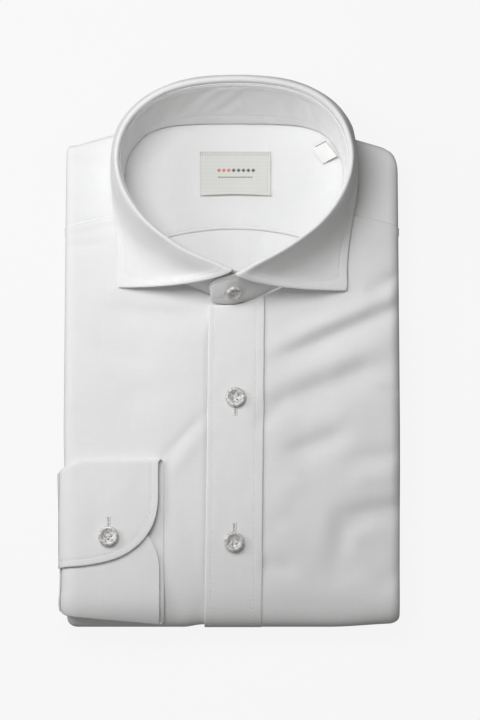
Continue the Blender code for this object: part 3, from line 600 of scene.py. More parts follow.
def damask(name, ground, bar, marks):
    """Woven label cloth; marks(x, y, node) gives shares of extra colours over the fine bars."""
    made, tree, shader = start_material(name, 0.6)
    cut = add_node(tree, "ShaderNodeUVMap", {}, uv_map=UV_NAME)
    parts = add_node(tree, "ShaderNodeSeparateXYZ", {"Vector": cut.outputs["UV"]})

    def node(kind, first, second=0.0, third=0.0):
        return add_node(tree, "ShaderNodeMath", {0: first, 1: second, 2: third}, operation=kind).outputs[0]

    weave = node("MULTIPLY_ADD", node("SINE", node("MULTIPLY", parts.outputs["Y"], 700.0)), 0.5, 0.5)
    last = blend(tree, weave, ground, bar)
    for share, colour in marks(parts.outputs["X"], parts.outputs["Y"], node):
        last = blend(tree, share, last, colour)
    bump = add_node(tree, "ShaderNodeBump", {"Height": weave, "Strength": 0.3, "Distance": 0.00008})
    tree.links.new(last, shader.inputs["Base Color"])
    tree.links.new(bump.outputs["Normal"], shader.inputs["Normal"])
    shader.inputs["Sheen Weight"].default_value = 0.1
    return made


def label_marks(x, y, node):
    """A row of small diamonds, the first three coral, a row of short dashes, and ribs at the top."""

    def between(low, high):
        return node("MULTIPLY", node("GREATER_THAN", x, low), node("LESS_THAN", x, high))

    def repeat(start, step):
        return node("FRACT", node("DIVIDE", node("SUBTRACT", x, start), step))

    off_x = node("ABSOLUTE", node("SUBTRACT", repeat(DIAMONDS_FROM, DIAMOND_STEP), 0.5))
    off_y = node("DIVIDE", node("ABSOLUTE", node("SUBTRACT", y, DIAMONDS_Y)), DIAMOND_HALF)
    inside = node("LESS_THAN", node("ADD", off_x, off_y), 0.44)
    row = between(DIAMONDS_FROM, DIAMONDS_FROM + DIAMOND_STEP * DIAMOND_COUNT)
    diamonds = node("MULTIPLY", inside, row)
    first_ones = node("LESS_THAN", x, DIAMONDS_FROM + DIAMOND_STEP * CORAL_COUNT)
    dash = node("LESS_THAN", repeat(0.0, DASH_STEP), 0.62)
    dash_y = node("LESS_THAN", node("ABSOLUTE", node("SUBTRACT", y, DASHES_Y)), DASH_HALF)
    dashes = node("MULTIPLY", dash, node("MULTIPLY", dash_y, between(DASHES_FROM, DASHES_TO)))
    rib = node("LESS_THAN", repeat(0.0, RIB_STEP), 0.45)
    ribs = node("MULTIPLY", rib, node("GREATER_THAN", y, RIBS_FROM_Y))
    coral = node("MULTIPLY", diamonds, first_ones)
    return ((ribs, "CDCEC9"), (diamonds, "6A6966"), (coral, "D98A6B"), (dashes, "8B8A87"))


def tag_marks(x, y, node):
    """The tape's two cut ends are darker for half a millimetre: painted shade along its edges."""
    ends = node("ADD", node("LESS_THAN", y, TAG_EDGE_SHADE_START), node("GREATER_THAN", y, TAG_EDGE_SHADE_END))
    return ((node("MULTIPLY", ends, node("LESS_THAN", x, TAG_EDGE_SHADE_WIDTH)), "6B6966"),)


LABEL_CLOTH = damask("woven_label_damask", "D7D8D3", "E7E8E4", label_marks)
TAG_CLOTH = damask("woven_tag_tape", "ECECE9", "F4F4F2", tag_marks)
print("materials", LABEL_CLOTH.name, TAG_CLOTH.name)

# %% [markdown]
# ## One function for every cut piece
# Each cut piece is a sheet, so each is a grid whose corners are sent to their places, then given a wall.
# The wall thins out in the last millimetre before a free edge, which reads as a turned and pressed edge
# where a full wall would read as card. The same function lays the UV map in the cloth's own lengths.

# %% Cloth and stitches
THIN_EDGE = 0.2  # a free edge's share of the full wall


def running(points):
    """Lengths along a row of points, from its first."""
    found = [0.0]
    for a, b in zip(points, points[1:]):
        found.append(found[-1] + (b - a).length)
    return found


def show(bm, name, finish, slot):
    """Makes the mesh an object that rides with the shirt."""
    mesh = bpy.data.meshes.new(name)
    bm.to_mesh(mesh)
    bm.free()
    mesh.materials.append(finish)
    mesh.shade_smooth()
    obj = bpy.data.objects.new(name, mesh)
    bpy.context.scene.collection.objects.link(obj)
    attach(obj, "root")
    return obj


def cloth(
    name, node, columns, rows, place, wall, facing, soft="lrse", offset=-1.0, finish=POPLIN, slot="cotton"
):
    """A sheet through place(column, row), in place of a CAD node.

    soft names its thinned edges: left, right, start, end.
    """
    bm = bmesh.new()
    across, along = len(columns) - 1, len(rows) - 1
    bmesh.ops.create_grid(bm, x_segments=across, y_segments=along, size=1)
    cut = bm.loops.layers.uv.new(UV_NAME)
    weights = bm.verts.layers.deform.verify()
    where, grid = {}, {}
    for vert in bm.verts:
        i = round((vert.co.x + 1) / 2 * across)
        j = round((vert.co.y + 1) / 2 * along)
        where[vert.index] = (i, j)
        grid[i, j] = place(columns[i], rows[j])
        vert.co = at(grid[i, j])
    by_row = [running([grid[i, j] for i in range(across + 1)]) for j in range(along + 1)]
    by_column = [running([grid[i, j] for j in range(along + 1)]) for i in range(across + 1)]
    for vert in bm.verts:
        i, j = where[vert.index]
        to_edge = {
            "l": by_row[j][i], "r": by_row[j][-1] - by_row[j][i],
            "s": by_column[i][j], "e": by_column[i][-1] - by_column[i][j],
        }
        near = min([to_edge[key] for key in soft] + [1.0])
        vert[weights][0] = math.sqrt(max(0.0, 1 - (1 - near) ** 2))
    u_of, v_of = by_row[along // 2], by_column[across // 2]
    for face in bm.faces:
        for loop in face.loops:
            i, j = where[loop.vert.index]
            loop[cut].uv = (u_of[i] / 100, v_of[j] / 100)
    if facing < 0:
        bmesh.ops.reverse_faces(bm, faces=bm.faces)
    obj = show(bm, name, finish, slot)
    obj.vertex_groups.new(name="wall")
    shell = obj.modifiers.new("wall", "SOLIDIFY")
    shell.thickness = wall * MM
    shell.offset = offset
    shell.vertex_group = "wall"
    shell.thickness_vertex_group = THIN_EDGE
    if node:
        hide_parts(node)
    print(name, len(obj.data.polygons), "faces")


STITCH_PITCH = 2.6
STITCH_SIZE = (2.1, 0.42, 0.34)


def sew(bm, path, pitch=STITCH_PITCH, size=STITCH_SIZE):
    """Lays stitches along a path of (point, normal) pairs in millimetres."""
    points = [point for point, normal in path]
    lengths = running(points)
    count = max(1, int(lengths[-1] / pitch))
    k = 0
    for n in range(count):
        want = (n + 0.5) * lengths[-1] / count
        while k < len(lengths) - 2 and lengths[k + 1] < want:
            k += 1
        t = (want - lengths[k]) / max(1e-6, lengths[k + 1] - lengths[k])
        middle = points[k].lerp(points[k + 1], t)
        ahead = (points[k + 1] - points[k]).normalized()
        up = path[k][1].lerp(path[k + 1][1], t)
        side = up.cross(ahead).normalized()
        up = ahead.cross(side).normalized()
        turn = Matrix((ahead, side, up)).transposed().to_4x4()
        scale = Matrix.Diagonal((size[0] / 2, size[1] / 2, size[2] / 2, 1000.0)) * MM
        matrix = Matrix.Translation(at(middle)) @ turn @ scale
        bmesh.ops.create_icosphere(bm, subdivisions=1, radius=1, matrix=matrix)
    return count


def groove(distance):
    """The cloth's dip at a line of stitching."""
    return -0.2 * math.exp(-((distance / 0.55) ** 2))


def pucker(along, distance, seed):
    """The short ripples that a seam's thread draws into the cloth beside it."""
    ripple = noise.noise(Vector((along / 3.4, seed, distance / 9)))
    return 0.22 * ripple * math.exp(-((distance / 3.0) ** 2))


def seam_path(face, places):
    """A path to sew along; face(place, rise) is a point of the cloth, rise millimetres off it."""
    path = []
    for place in places:
        low, high = face(place, 0.0), face(place, 1.0)
        path.append((low, high - low))
    return path


def stitches(name, paths, pitch=STITCH_PITCH, size=STITCH_SIZE):
    bm = bmesh.new()
    sewn = sum([sew(bm, path, pitch, size) for path in paths])
    show(bm, name, THREAD, "cotton")
    print(name, sewn)


print("a stitch is", STITCH_SIZE[0], "mm long")

# %% [markdown]
# ## The two fronts
# Each front is one panel that runs from the neck and the yoke seam down the top, round the bottom fold
# and back underneath, with its side rolled in. It is one sheet, so the creases run through it without
# a break. At the yoke seam its edge is turned under and stitched, and stands a little proud.

# %% Front panels
SIDE_ROLLS = steps(0, math.pi, 12)
TOP_LINE = -15.0
YOKE_STITCH = 2.6
SEAM_RISE = 0.55  # the turned seam allowance lies under the front here
PLACKET_WIDTH = 35.4
UNDER_SWELL = 2.1  # the placket's edge pushes up the front beside it


def across_of(side, column, down):
    kind, value = column
    flat = half_width(side, down) - SIDE_ROLL_X
    if kind == "flat":
        return value
    if kind == "near":
        return mix(86.0, flat, value)
    if kind == "roll":
        return flat + value * SIDE_ROLL_RADIUS
    return flat + math.pi * SIDE_ROLL_RADIUS + value


def seam_x(column):
    """How far out a column is where it meets the yoke's seam."""
    kind, value = column
    if kind == "flat":
        return value
    if kind == "near":
        return mix(86.0, HALF_WIDTH - SIDE_ROLL_X, value)
    turned = min(value, math.pi / 2) if kind == "roll" else math.pi / 2
    return HALF_WIDTH - SIDE_ROLL_X + SIDE_ROLL_X * math.sin(turned)


def side_columns(start):
    flat = [("flat", x) for x in steps(start, 86.0, round((86 - start) / 2.0))]
    near = [("near", t) for t in (0.34, 0.68)]
    return flat + near + [("roll", a) for a in SIDE_ROLLS] + [("in", v) for v in (6.0, 13.0, 20.0, 25.0)]


def panel_rows():
    top = [("top", t) for t in (0, 0.002, 0.006, 0.012, 0.02, 0.028, 0.036, 0.045, 0.06)]
    top += [("top", t) for t in steps(0.08, 0.98, 34)]
    down = steps(TOP_LINE, 150, 78) + steps(152, BOTTOM_DOWN, 4)
    down += [BOTTOM_DOWN + TURN_ARC * k / 18 for k in range(1, 19)]
    down += [BOTTOM_DOWN + TURN_ARC + BOTTOM_DOWN + y for y in steps(-150, 104, 30)]
    return top + [("down", value) for value in down] + [("end", math.radians(a)) for a in steps(0, 62, 6)]


def placket_middle(down):
    return mix(3.0, 1.0, (down + 28) / (BOTTOM_DOWN + 28))


def lap_height(down):
    """One layer on another: full on the front, pressed thin round the bottom fold, flush underneath."""
    return LAP * (1 - 0.5 * smooth(112, 158, down)) * (1 - smooth(150, 177, down))


def over_lift(across, down):
    """The buttonhole side lies on the button side on top, and flush underneath."""
    return lap_height(down) * (1 - smooth(21, 56, across))


def under_lift(across, down):
    """The button side swells beside the placket, and underneath it passes below the other side."""
    past = across + placket_middle(down) - PLACKET_WIDTH / 2
    swell = UNDER_SWELL * smooth(-1.5, 0.8, past) * (1 - smooth(7, 58, past)) * smooth(-25, -6, down)
    swell *= 1 - smooth(125, 172, down)
    return swell - LAP * (1 - smooth(18, 30, across)) * smooth(150, 182, down)


def front_place(side, lift):
    def place(column, row):
        kind, value = row
        proud = 0.0
        if kind == "top":
            x = side * seam_x(column)
            edge = top_edge_y(side, x)
            value = mix(-edge, TOP_LINE, value)
            from_seam = edge + value
            turned = SEAM_RISE * (1 - smooth(3.0, 7.0, from_seam)) - 0.8 * (1 - smooth(0.0, 0.9, from_seam))
            stitched = groove(from_seam - YOKE_STITCH) + pucker(x, from_seam - YOKE_STITCH, 3.0 + side)
            proud = (turned + stitched) * smooth(60, 66, abs(x))
        if kind == "end":
            last = BOTTOM_DOWN + TURN_ARC + BOTTOM_DOWN + HEM_END_Y
            across = across_of(side, column, last)
            amount = lift(across, last)
            point = lifted(side, across, last, amount)
            middle = FOLD_PLANE_Z / 2 - 0.5
            point.z = middle + (point.z - middle) * math.cos(value)
            point.y = HEM_END_Y + (6.0 + 1.3 * amount) * math.sin(value)
            return point
        across = across_of(side, column, value)
        return lifted(side, across, value, lift(across, value) + proud)

    return place


left_place, right_place = front_place(LEFT, under_lift), front_place(RIGHT, over_lift)
cloth("button_side_front", "front_button_side", side_columns(-17), panel_rows(), left_place, 0.7, 1, "l")
cloth(
    "buttonhole_side_front", "front_buttonhole_side", side_columns(-14.4), panel_rows(), right_place,
    0.7, -1, "l",
)

# %% [markdown]
# ## The placket
# The placket is the strip with the buttonholes: cloth folded over on both sides and stitched 5 mm in
# from each fold. It is laid on the front with rounded folds, and its two stitch lines sink in, with
# the small ripples that sewing leaves.

# %% Placket
PLACKET_END_DOWN = BOTTOM_DOWN + LOWER_THICK * math.radians(150)
PLACKET_STITCHES = (-14.3, 12.1)


def placket_height(x_off, down):
    """The placket's face above the front panel below it."""
    to_fold = PLACKET_WIDTH / 2 - abs(x_off)
    rounded = 1.15 * math.sqrt(max(0.0, 1 - (1 - min(1.0, to_fold / 0.9)) ** 2))
    pressed = 1 - 0.55 * smooth(112, 160, down) - 0.33 * smooth(158, 177, down)
    wave = 0.14 * noise.noise(Vector((x_off / 7, down / 16, 3.3)))
    sewn_in = 0.0
    for line in PLACKET_STITCHES:
        sewn_in += 0.45 * groove(x_off - line) + 0.5 * pucker(down, x_off - line, line)
    return 0.12 + (rounded + sewn_in + wave) * pressed


def placket_point(x_off, down, rise=0.0):
    under = lap_height(down)
    return lifted(RIGHT, placket_middle(down) + x_off, down, under + placket_height(x_off, down) + rise)


def placket_place(x_off, row):
    kind, value = row
    if kind == "top":
        x = placket_middle(-28) + x_off
        value = mix(-top_edge_y(RIGHT, x), TOP_LINE, value)
    return placket_point(x_off, value)


half = [0.0, 1.9, 3.8, 5.7, 7.6, 9.3, 10.6, 11.3, 11.7, 12.1, 12.5, 12.9, 13.5, 13.9, 14.3, 14.7, 15.2]
half += [15.9, 16.5, 16.95, 17.3, 17.55, 17.7]
placket_columns = [-v for v in half[:0:-1]] + half
placket_rows = [("top", t) for t in steps(0, 0.9, 8)]
placket_rows += [("down", v) for v in steps(TOP_LINE, BOTTOM_DOWN, 110)]
placket_rows += [("down", v) for v in steps(BOTTOM_DOWN, PLACKET_END_DOWN, 16)[1:]]
cloth("placket_strip", "placket", placket_columns, placket_rows, placket_place, 0.9, -1, "lr")


def placket_line(x_off):
    downs = steps(-27.0, PLACKET_END_DOWN - 2, 190)
    return seam_path(lambda down, rise: placket_point(x_off, down, rise), downs)


stitches("placket_stitches", [placket_line(x_off) for x_off in PLACKET_STITCHES])

# %% [markdown]
# ## The yoke over the shoulders
# The yoke comes over each shoulder from the back and ends at the seam to the front. Folded, the
# shoulder is a soft roll at the far end, squarer on the left side than on the right.

# %% Yoke shoulders
SHOULDER_ROLL_Y = 5.0
CORNER_POWER = {LEFT: 0.3, RIGHT: 0.6}
CORNER_ROUND = {LEFT: 2.5, RIGHT: 11.0}


def shoulder_y(side, x):
    return SHOULDER_Y[side] + SHOULDER_SLOPE * (HALF_WIDTH - abs(x))


def yoke_place(side):
    flat = HALF_WIDTH - SIDE_ROLL_X

    def place(column, row):
        kind, value = row
        rise = value if kind == "rise" else 1.0
        turn = {"rise": 0.0, "turn": value, "in": math.pi}[kind]
        near_y = mix(yoke_seam_y(70), shoulder_y(side, 70), rise)
        inner = 67.0 + 6.5 * smooth(84, 112, near_y) - 5.0 * smooth(128, 142, near_y) + side * COLLAR_X
        x = mix(inner, flat, column[1]) if column[0] == "flat" else flat
        most = mix(math.pi, math.pi / 2, smooth(0.55, 1.0, rise))
        roll = most * column[1] if column[0] == "roll" else 0.0
        seam_at = x if column[0] == "flat" else seam_x(("roll", math.pi * column[1]))
        seam = yoke_seam_y(seam_at) - 0.1
        y = mix(seam, shoulder_y(side, x), rise)
        sink = 0.25 * (1 - smooth(0.0, 2.5, y - seam))
        soft = 0.45 * math.exp(-(((y - 116 - 0.06 * x) / 5) ** 2)) + 0.3 * math.exp(-(((y - 96) / 4) ** 2))
        thick = upper_thick(side * x, -y) - sink - soft * (1.0 if side == LEFT else 0.6)
        height = level(roll, thick)
        middle = (thick + INNER_GAP) / 2
        height = middle + (height - middle) * math.cos(turn)
        squeeze = abs(math.cos(turn)) ** CORNER_POWER[side]
        out = x + SIDE_ROLL_X * math.sin(roll) * squeeze
        back = value if kind == "in" else 0.0
        corner = CORNER_ROUND[side]
        near_side = min(corner, max(0.0, out - (HALF_WIDTH - corner)))
        y -= (corner - math.sqrt(corner**2 - near_side**2)) * smooth(0.4, 1.0, rise)
        y += SHOULDER_ROLL_Y * math.sin(turn) - back
        return Vector((side * out, y, FOLD_PLANE_Z + height))

    return place


yoke_columns = [("flat", t) for t in steps(0, 0.92, 14)] + [("roll", t) for t in steps(0, 1, 12)]
yoke_rows = [("rise", t) for t in (0, 0.01, 0.03, 0.06, 0.1)] + [("rise", t) for t in steps(0.15, 1, 20)]
yoke_rows += [("turn", math.radians(a)) for a in steps(15, 180, 11)] + [("in", 5.0), ("in", 10.0)]
for side, word in SIDES:
    name, node = "yoke_over_" + word + "_shoulder", "yoke_shoulder_" + word
    cloth(name, node, yoke_columns, yoke_rows, yoke_place(side), 0.8, side, "s")


def yoke_line(side):
    def face(x, rise):
        return lifted(side, x, YOKE_STITCH - top_edge_y(side, side * x), 0.22 + rise)

    return seam_path(face, steps(68.5, 98.5, 30))


stitches("yoke_seam_stitches", [yoke_line(side) for side, word in SIDES])

# %% [markdown]
# ## Inside the neck
# Inside the open collar lie the inner yoke, its curved lower seam, and the back below it with a box
# pleat at its middle: two pressed folds that face each other under the seam.

# %% Inner yoke and back
INSIDE_SEAM_Y = 79.8
INNER_STITCH = 2.2
YOKE_REACH = 74


def inside_seam_y(x):
    return INSIDE_SEAM_Y - 4.5 * min(1.7, (x / 38) ** 2)


def neck_seam_y(x):
    return 121 + 30 * math.sqrt(max(0.0, 1 - (abs(x) / YOKE_REACH) ** 3))


def inside_wave(x, y):
    return 0.30 * noise.noise(Vector((x / 26, y / 22, 8.1))) + 0.10 * noise.noise(Vector((x / 9, y / 8, 2.6)))


def inner_yoke_place(x, share):
    y = mix(inside_seam_y(x), neck_seam_y(x), share)
    from_seam = y - inside_seam_y(x)
    height = 0.05 - 0.35 * (1 - smooth(0.0, 0.9, from_seam)) + groove(from_seam - INNER_STITCH)
    height += pucker(x, from_seam - INNER_STITCH, 6.0) + inside_wave(x, y)
    return Vector((COLLAR_X + x, y, INSIDE_Z + height))


def back_place(x, share):
    near = inside_seam_y(x) - 0.1
    y = mix(near, 18, share)
    height = inside_wave(x, y) - 0.25
    centre = x + COLLAR_X
    below = 1 - smooth(70, 84, y)
    for fold_x, turn in ((1.9, 1), (11.4, -1)):  # the box pleat's two folds
        height += 0.26 * (0.3 + 0.7 * below) * (1 / (1 + math.exp(-(centre - fold_x) * turn / 0.35)) - 0.5)
    height -= 0.4 * math.exp(-(((centre - 19) / 3) ** 2 + ((y - 75) / 4) ** 2))
    return Vector((COLLAR_X + x, y, INSIDE_Z - 0.3 + height))


inner_columns = steps(-YOKE_REACH, YOKE_REACH, 84)
inner_rows = [0, 0.004, 0.01, 0.02, 0.028, 0.036, 0.05] + steps(0.07, 1, 38)
cloth("inner_yoke", "yoke_inside", inner_columns, inner_rows, inner_yoke_place, 0.6, 1, "s")
cloth("back_in_the_neck", "back_panel", steps(-66, 66, 132), steps(0, 1, 34), back_place, 0.7, -1, "")


def inner_seam_face(x, rise):
    y = inside_seam_y(x) + INNER_STITCH
    return Vector((COLLAR_X + x, y, INSIDE_Z + inside_wave(x, y) + rise))


stitches("inner_yoke_stitches", [seam_path(inner_seam_face, steps(-56, 56, 90))])

# %% [markdown]
# ## The collar
# The stand and the leaf are each two layers of poplin fused on a stiff interlining, so they hold a
# clean curve and wrinkle only in short diagonal folds where they bend. The leaf is laid out in
# millimetres from its edges, so that its topstitching keeps its distance all the way round the point.

# %% Collar stand
STAND_TALL = 32.0
STAND_WRINKLE = 0.3  # the leaf hangs this close outside
STAND_STITCH = 2.2
STAND_LOW_STITCH = 6.2


def stand_face(side, station, rise, away=0.0):
    """A point of the stand, moved outwards by its wrinkles and by away."""
    point = stand_point(side, station, rise)
    out = outward(min(station, 9.0))
    out = Vector((side * out.x, out.y, 0))
    along = side * station * 24.0
    up = rise * STAND_TALL
    across, with_fold = along + side * up * 0.8, up - side * along * 0.15
    diagonal = noise.noise(Vector((across / 7.0, with_fold / 30.0, 4.4)))
    broad = noise.noise(Vector((along / 24.0, up / 34.0, 9.3)))
    free = smooth(0.2, 0.42, rise) * (1 - smooth(0.84, 0.93, rise))
    wrinkle = min(STAND_WRINKLE, (1.1 * diagonal + 0.3 * broad) * free)
    seam = 0.0
    for off, seed in ((STAND_TALL * (1 - rise) - STAND_STITCH, 12.0), (up - STAND_LOW_STITCH, 13.0)):
        seam += groove(off) + pucker(along, off, seed)
    proud = 0.35 * smooth(0.80, 0.90, rise)
    return point + out * (wrinkle - seam - proud + away)


stand_rises = [0, 0.02, 0.05, 0.09, 0.13, 0.16, 0.178, 0.194, 0.21, 0.23, 0.26]
stand_rises += steps(0.30, 0.85, 14) + [0.88, 0.905, 0.92, 0.931, 0.942, 0.96, 0.975, 0.99, 1.0]
stand_keys = [(LEFT, s) for s in steps(STAND_END, 0, 120)]
stand_keys += [(RIGHT, s) for s in steps(0, STAND_END, 120)[1:]]


def stand_place(rise, key):
    return stand_face(key[0], key[1], rise)


cloth("collar_stand_band", "collar_stand", stand_rises, stand_keys, stand_place, 1.4, 1, offset=0.0)

# %% Collar leaf
LEAF_STITCH = 5.6
LEAF_WALL = 1.1
EDGE_STEPS = [12.5, 10.5, 8.8, 7.4, 6.6, 6.1, 5.6, 5.1, 4.6, 3.8, 2.8, 1.8, 1.0, 0.5, 0.2, 0.0]


def leaf_speeds(side):
    """How many millimetres one station is at the leaf's front end, for a few widths."""
    found = []
    for width in steps(-1, 1, 16):
        run = leaf_point(side, LEAF_END, width) - leaf_point(side, LEAF_END - 0.2, width)
        found.append(run.length / 0.2)
    return found


LEAF_SPEEDS = {side: leaf_speeds(side) for side in (LEFT, RIGHT)}


def leaf_speed(side, width):
    place = (width + 1) / 2 * 16
    k = min(15, max(0, int(place)))
    return mix(LEAF_SPEEDS[side][k], LEAF_SPEEDS[side][k + 1], place - k)


def leaf_width(side, station, column):
    """A column as a share of the leaf's section; ("edge", mm) is measured in from its outer edge."""
    kind, value = column
    if kind == "width":
        return value
    fall, edge = leaf_curve(side, station)[3:]
    pace = 3 * (edge - fall).length
    if kind == "edge":
        return 1 - value / pace
    return value * (1 - (EDGE_STEPS[0] + 1.8) / pace)


def leaf_face(side, station, width, from_edge, from_end, away=0.0):
    """A point of the leaf, moved square to it by its wrinkles, its stitch groove and by away."""
    point = leaf_point(side, station, width)
    ahead = leaf_point(side, station + 0.03, width) - leaf_point(side, station - 0.03, width)
    down = leaf_point(side, station, width + 0.01) - leaf_point(side, station, width - 0.01)
    normal = ahead.cross(down).normalized() * side
    inside = min(from_edge, from_end)
    seam = groove(inside - LEAF_STITCH) + 0.6 * pucker(station * 22, inside - LEAF_STITCH, 15.0)
    roll_wise = noise.noise(Vector((side * station * 1.1, width * 5.5, 6.6)))
    broad = noise.noise(Vector((side * station * 0.8 + 4, width * 2.2, 1.2)))
    lying = smooth(0.04, 0.3, width) * smooth(0.0, 9.0, inside)
    relief = (0.35 * roll_wise + 0.5 * broad) * lying
    return point + normal * (relief + seam + away)


def leaf_place(column, row):
    side, kind, value = row
    first = leaf_width(side, LEAF_END, column)
    pace = leaf_speed(side, first)
    if kind == "end":
        station, from_end = LEAF_END - value / pace, value
    else:
        reach = LEAF_END - (EDGE_STEPS[0] + 2.0) / pace
        station, from_end = reach * value, 99.0
    width = leaf_width(side, station, column)
    from_edge = column[1] if column[0] == "edge" else 99.0
    return leaf_face(side, station, width, from_edge, from_end)


leaf_columns = [("width", w) for w in steps(-1, -0.15, 6)] + [("inner", w) for w in steps(0, 1, 24)]
leaf_columns += [("edge", mm) for mm in EDGE_STEPS]
leaf_rows = [(LEFT, "end", mm) for mm in reversed(EDGE_STEPS)]
leaf_rows += [(LEFT, "body", s) for s in steps(1, 0, 96)]
leaf_rows += [(RIGHT, "body", s) for s in steps(0, 1, 96)][1:]
leaf_rows += [(RIGHT, "end", mm) for mm in EDGE_STEPS]
cloth("collar_leaf_cloth", "collar_leaf", leaf_columns, leaf_rows, leaf_place, LEAF_WALL, 1, offset=0.0)

# %% [markdown]
# ## Topstitching of the collar
# One line of stitches runs round the leaf, 5.6 mm in from its edge, and one along the top of the stand.
# The stitches are small ellipsoids of twenty faces that lie half sunk in the groove.

# %% Collar stitches
EDGE_LINE = ("edge", LEAF_STITCH)


def sewn_leaf(side, station, column, from_end, rise):
    width = leaf_width(side, station, column)
    from_edge = column[1] if column[0] == "edge" else 99.0
    return leaf_face(side, station, width, from_edge, from_end, LEAF_WALL / 2 + 0.04 + rise)


def leaf_paths(side):
    """The stitch line along the leaf's edge, and the one up its front end."""
    corner = LEAF_END - LEAF_STITCH / leaf_speed(side, leaf_width(side, LEAF_END, EDGE_LINE))
    last_width = leaf_width(side, LEAF_END, EDGE_LINE)
    columns = [("inner", share) for share in steps(0.05, 1.0, 60)]
    columns = [column for column in columns if leaf_width(side, LEAF_END, column) <= last_width]

    def end_face(column, rise):
        station = corner
        if column != EDGE_LINE:
            station = LEAF_END - LEAF_STITCH / leaf_speed(side, leaf_width(side, LEAF_END, column))
        return sewn_leaf(side, station, column, LEAF_STITCH, rise)

    def edge_face(station, rise):
        return sewn_leaf(side, station, EDGE_LINE, 99.0, rise)

    return [seam_path(edge_face, steps(0.0, corner, 160)), seam_path(end_face, columns + [EDGE_LINE])]


def stand_paths(side):
    """The stitch lines along the top and the foot of the stand, on the side that faces the neck."""
    found = []
    for level_up in (1 - STAND_STITCH / STAND_TALL, STAND_LOW_STITCH / STAND_TALL):

        def face(station, rise, level_up=level_up):
            return stand_face(side, station, level_up, -0.74 - rise)

        found.append(seam_path(face, steps(0.0, 8.8, 160)))
    return found


collar_paths = []
for side, word in SIDES:
    collar_paths += leaf_paths(side) + stand_paths(side)
stitches("collar_stitches", collar_paths)

# %% [markdown]
# ## The cuff and its sleeve
# The cuff is a stiff band, two layers on an interlining like the collar's. Buttoned, it is a flat loop:
# the button end below, the buttonhole end on top, both with a rounded corner. One sheet follows the
# whole loop, and the sleeve comes to it from between the halves, round the side fold.

# %% Cuff
CUFF_TOP_DOWN = 71.0
CUFF_BOTTOM_DOWN = 171.6
CUFF_BOTTOM_RISE = 5.4
CUFF_INNER = {"low": 41.8, "under": 44.6, "flap": 45.4}
CUFF_SEAM_ACROSS = 103.5
CORNER_ACROSS = {"under": 43.0, "flap": 52.0}
CORNER_DOWN = {"under": 35.0, "flap": 43.0}
CORNER_POWER_OF_CUFF = 2.3
CUFF_UNDER_END = 105.5
CUFF_LAYERS = (1.5, 3.5, 5.4)
CUFF_WALL = 1.1
CUFF_STITCH = 4.2
CUFF_DENTS = (
    # across, down, width, length, height
    (84, 112, 6, 9, -0.5),
    (66, 92, 7, 10, 0.4),
)
FLAP_DOWN = 136.6
FLAP_DROP = 1.2
HALF_TURN = [math.pi * k / 8 for k in range(1, 8)]


def cuff_bottom(across):
    return CUFF_BOTTOM_DOWN - CUFF_BOTTOM_RISE * (across - 44.0) / (CUFF_SEAM_ACROSS - 44.0)


def corner_drop(layer, across):
    """How far an end of the band is cut back at its round corner."""
    reach = max(0.0, 1 - max(0.0, across - CUFF_INNER[layer]) / CORNER_ACROSS[layer])
    power = CORNER_POWER_OF_CUFF
    return CORNER_DOWN[layer] * (1 - max(0.0, 1 - reach**power) ** (1 / power))


def cuff_top(across):
    """The top fold, which drops in a round corner towards the side fold."""
    return CUFF_TOP_DOWN + 6.0 * max(0.0, (across - 89.0) / 14.5) ** 2.4


def flap_line(across):
    return FLAP_DOWN + FLAP_DROP * smooth(80, CUFF_SEAM_ACROSS, across)


def flap_edge_distance(across, down):
    """Distance in from the flap's edge: its straight inner side, its round corner or its end."""
    wide, tall, power = CORNER_ACROSS["flap"], CORNER_DOWN["flap"], CORNER_POWER_OF_CUFF
    a = 1 - (across - CUFF_INNER["flap"]) / wide
    b = 1 - (flap_line(across) - down) / tall
    if a > 0 and b > 0:
        size = (a * a * wide + b * b * tall) / (a * a + b * b)
        return (1 - (a**power + b**power) ** (1 / power)) * size
    return min(across - CUFF_INNER["flap"], flap_line(across) - down)


def body_fall(down):
    """How far the front has sunk towards the bottom fold; a stiff cuff follows only part of it."""
    t = min(0.98, max(0.0, (down - BOTTOM_EASE_FROM) / BOTTOM_EASE))
    return LOWER_THICK * (1 - math.sqrt(1 - t**3)) * (1 - smooth(154, 170, down))


def cuff_path(share):
    """The loop as (across, down, out, part): button end, lower fold, under layer, top fold, flap."""
    low, middle, high = CUFF_LAYERS
    at_low, at_under, at_flap = (mix(CUFF_INNER[key], CUFF_SEAM_ACROSS, share) for key in CUFF_INNER)
    bottom = cuff_bottom(at_low)
    under_start = CUFF_UNDER_END + corner_drop("under", at_under)
    flap_end = flap_line(at_flap) - corner_drop("flap", at_flap)
    fold, head = (middle - low) / 2, (high - low) / 2
    last = bottom - fold
    path = [(at_under, d, middle, "under") for d in steps(under_start, under_start + 1.5, 4)]
    path += [(at_under, d, middle, "under") for d in steps(under_start + 1.5, last, 20)[1:]]
    for turn in HALF_TURN:
        across = mix(at_under, at_low, turn / math.pi)
        path.append((across, last + fold * math.sin(turn), low + fold + fold * math.cos(turn), "fold"))
    top = cuff_top(at_flap)
    path += [(at_low, d, low, "low") for d in steps(last, top + head, 24)]
    for turn in HALF_TURN:
        across = mix(at_low, at_flap, turn / math.pi)
        path.append((across, top + head - head * math.sin(turn), low + head - head * math.cos(turn), "head"))
    path += [(at_flap, d, high, "flap") for d in steps(top + head, flap_end - 7, 24)]
    ends = (6, 5.2, 4.7, 4.2, 3.7, 3.2, 2.4, 1.6, 0.9, 0.4, 0.15, 0)
    return path + [(at_flap, flap_end - d, high, "flap") for d in ends]


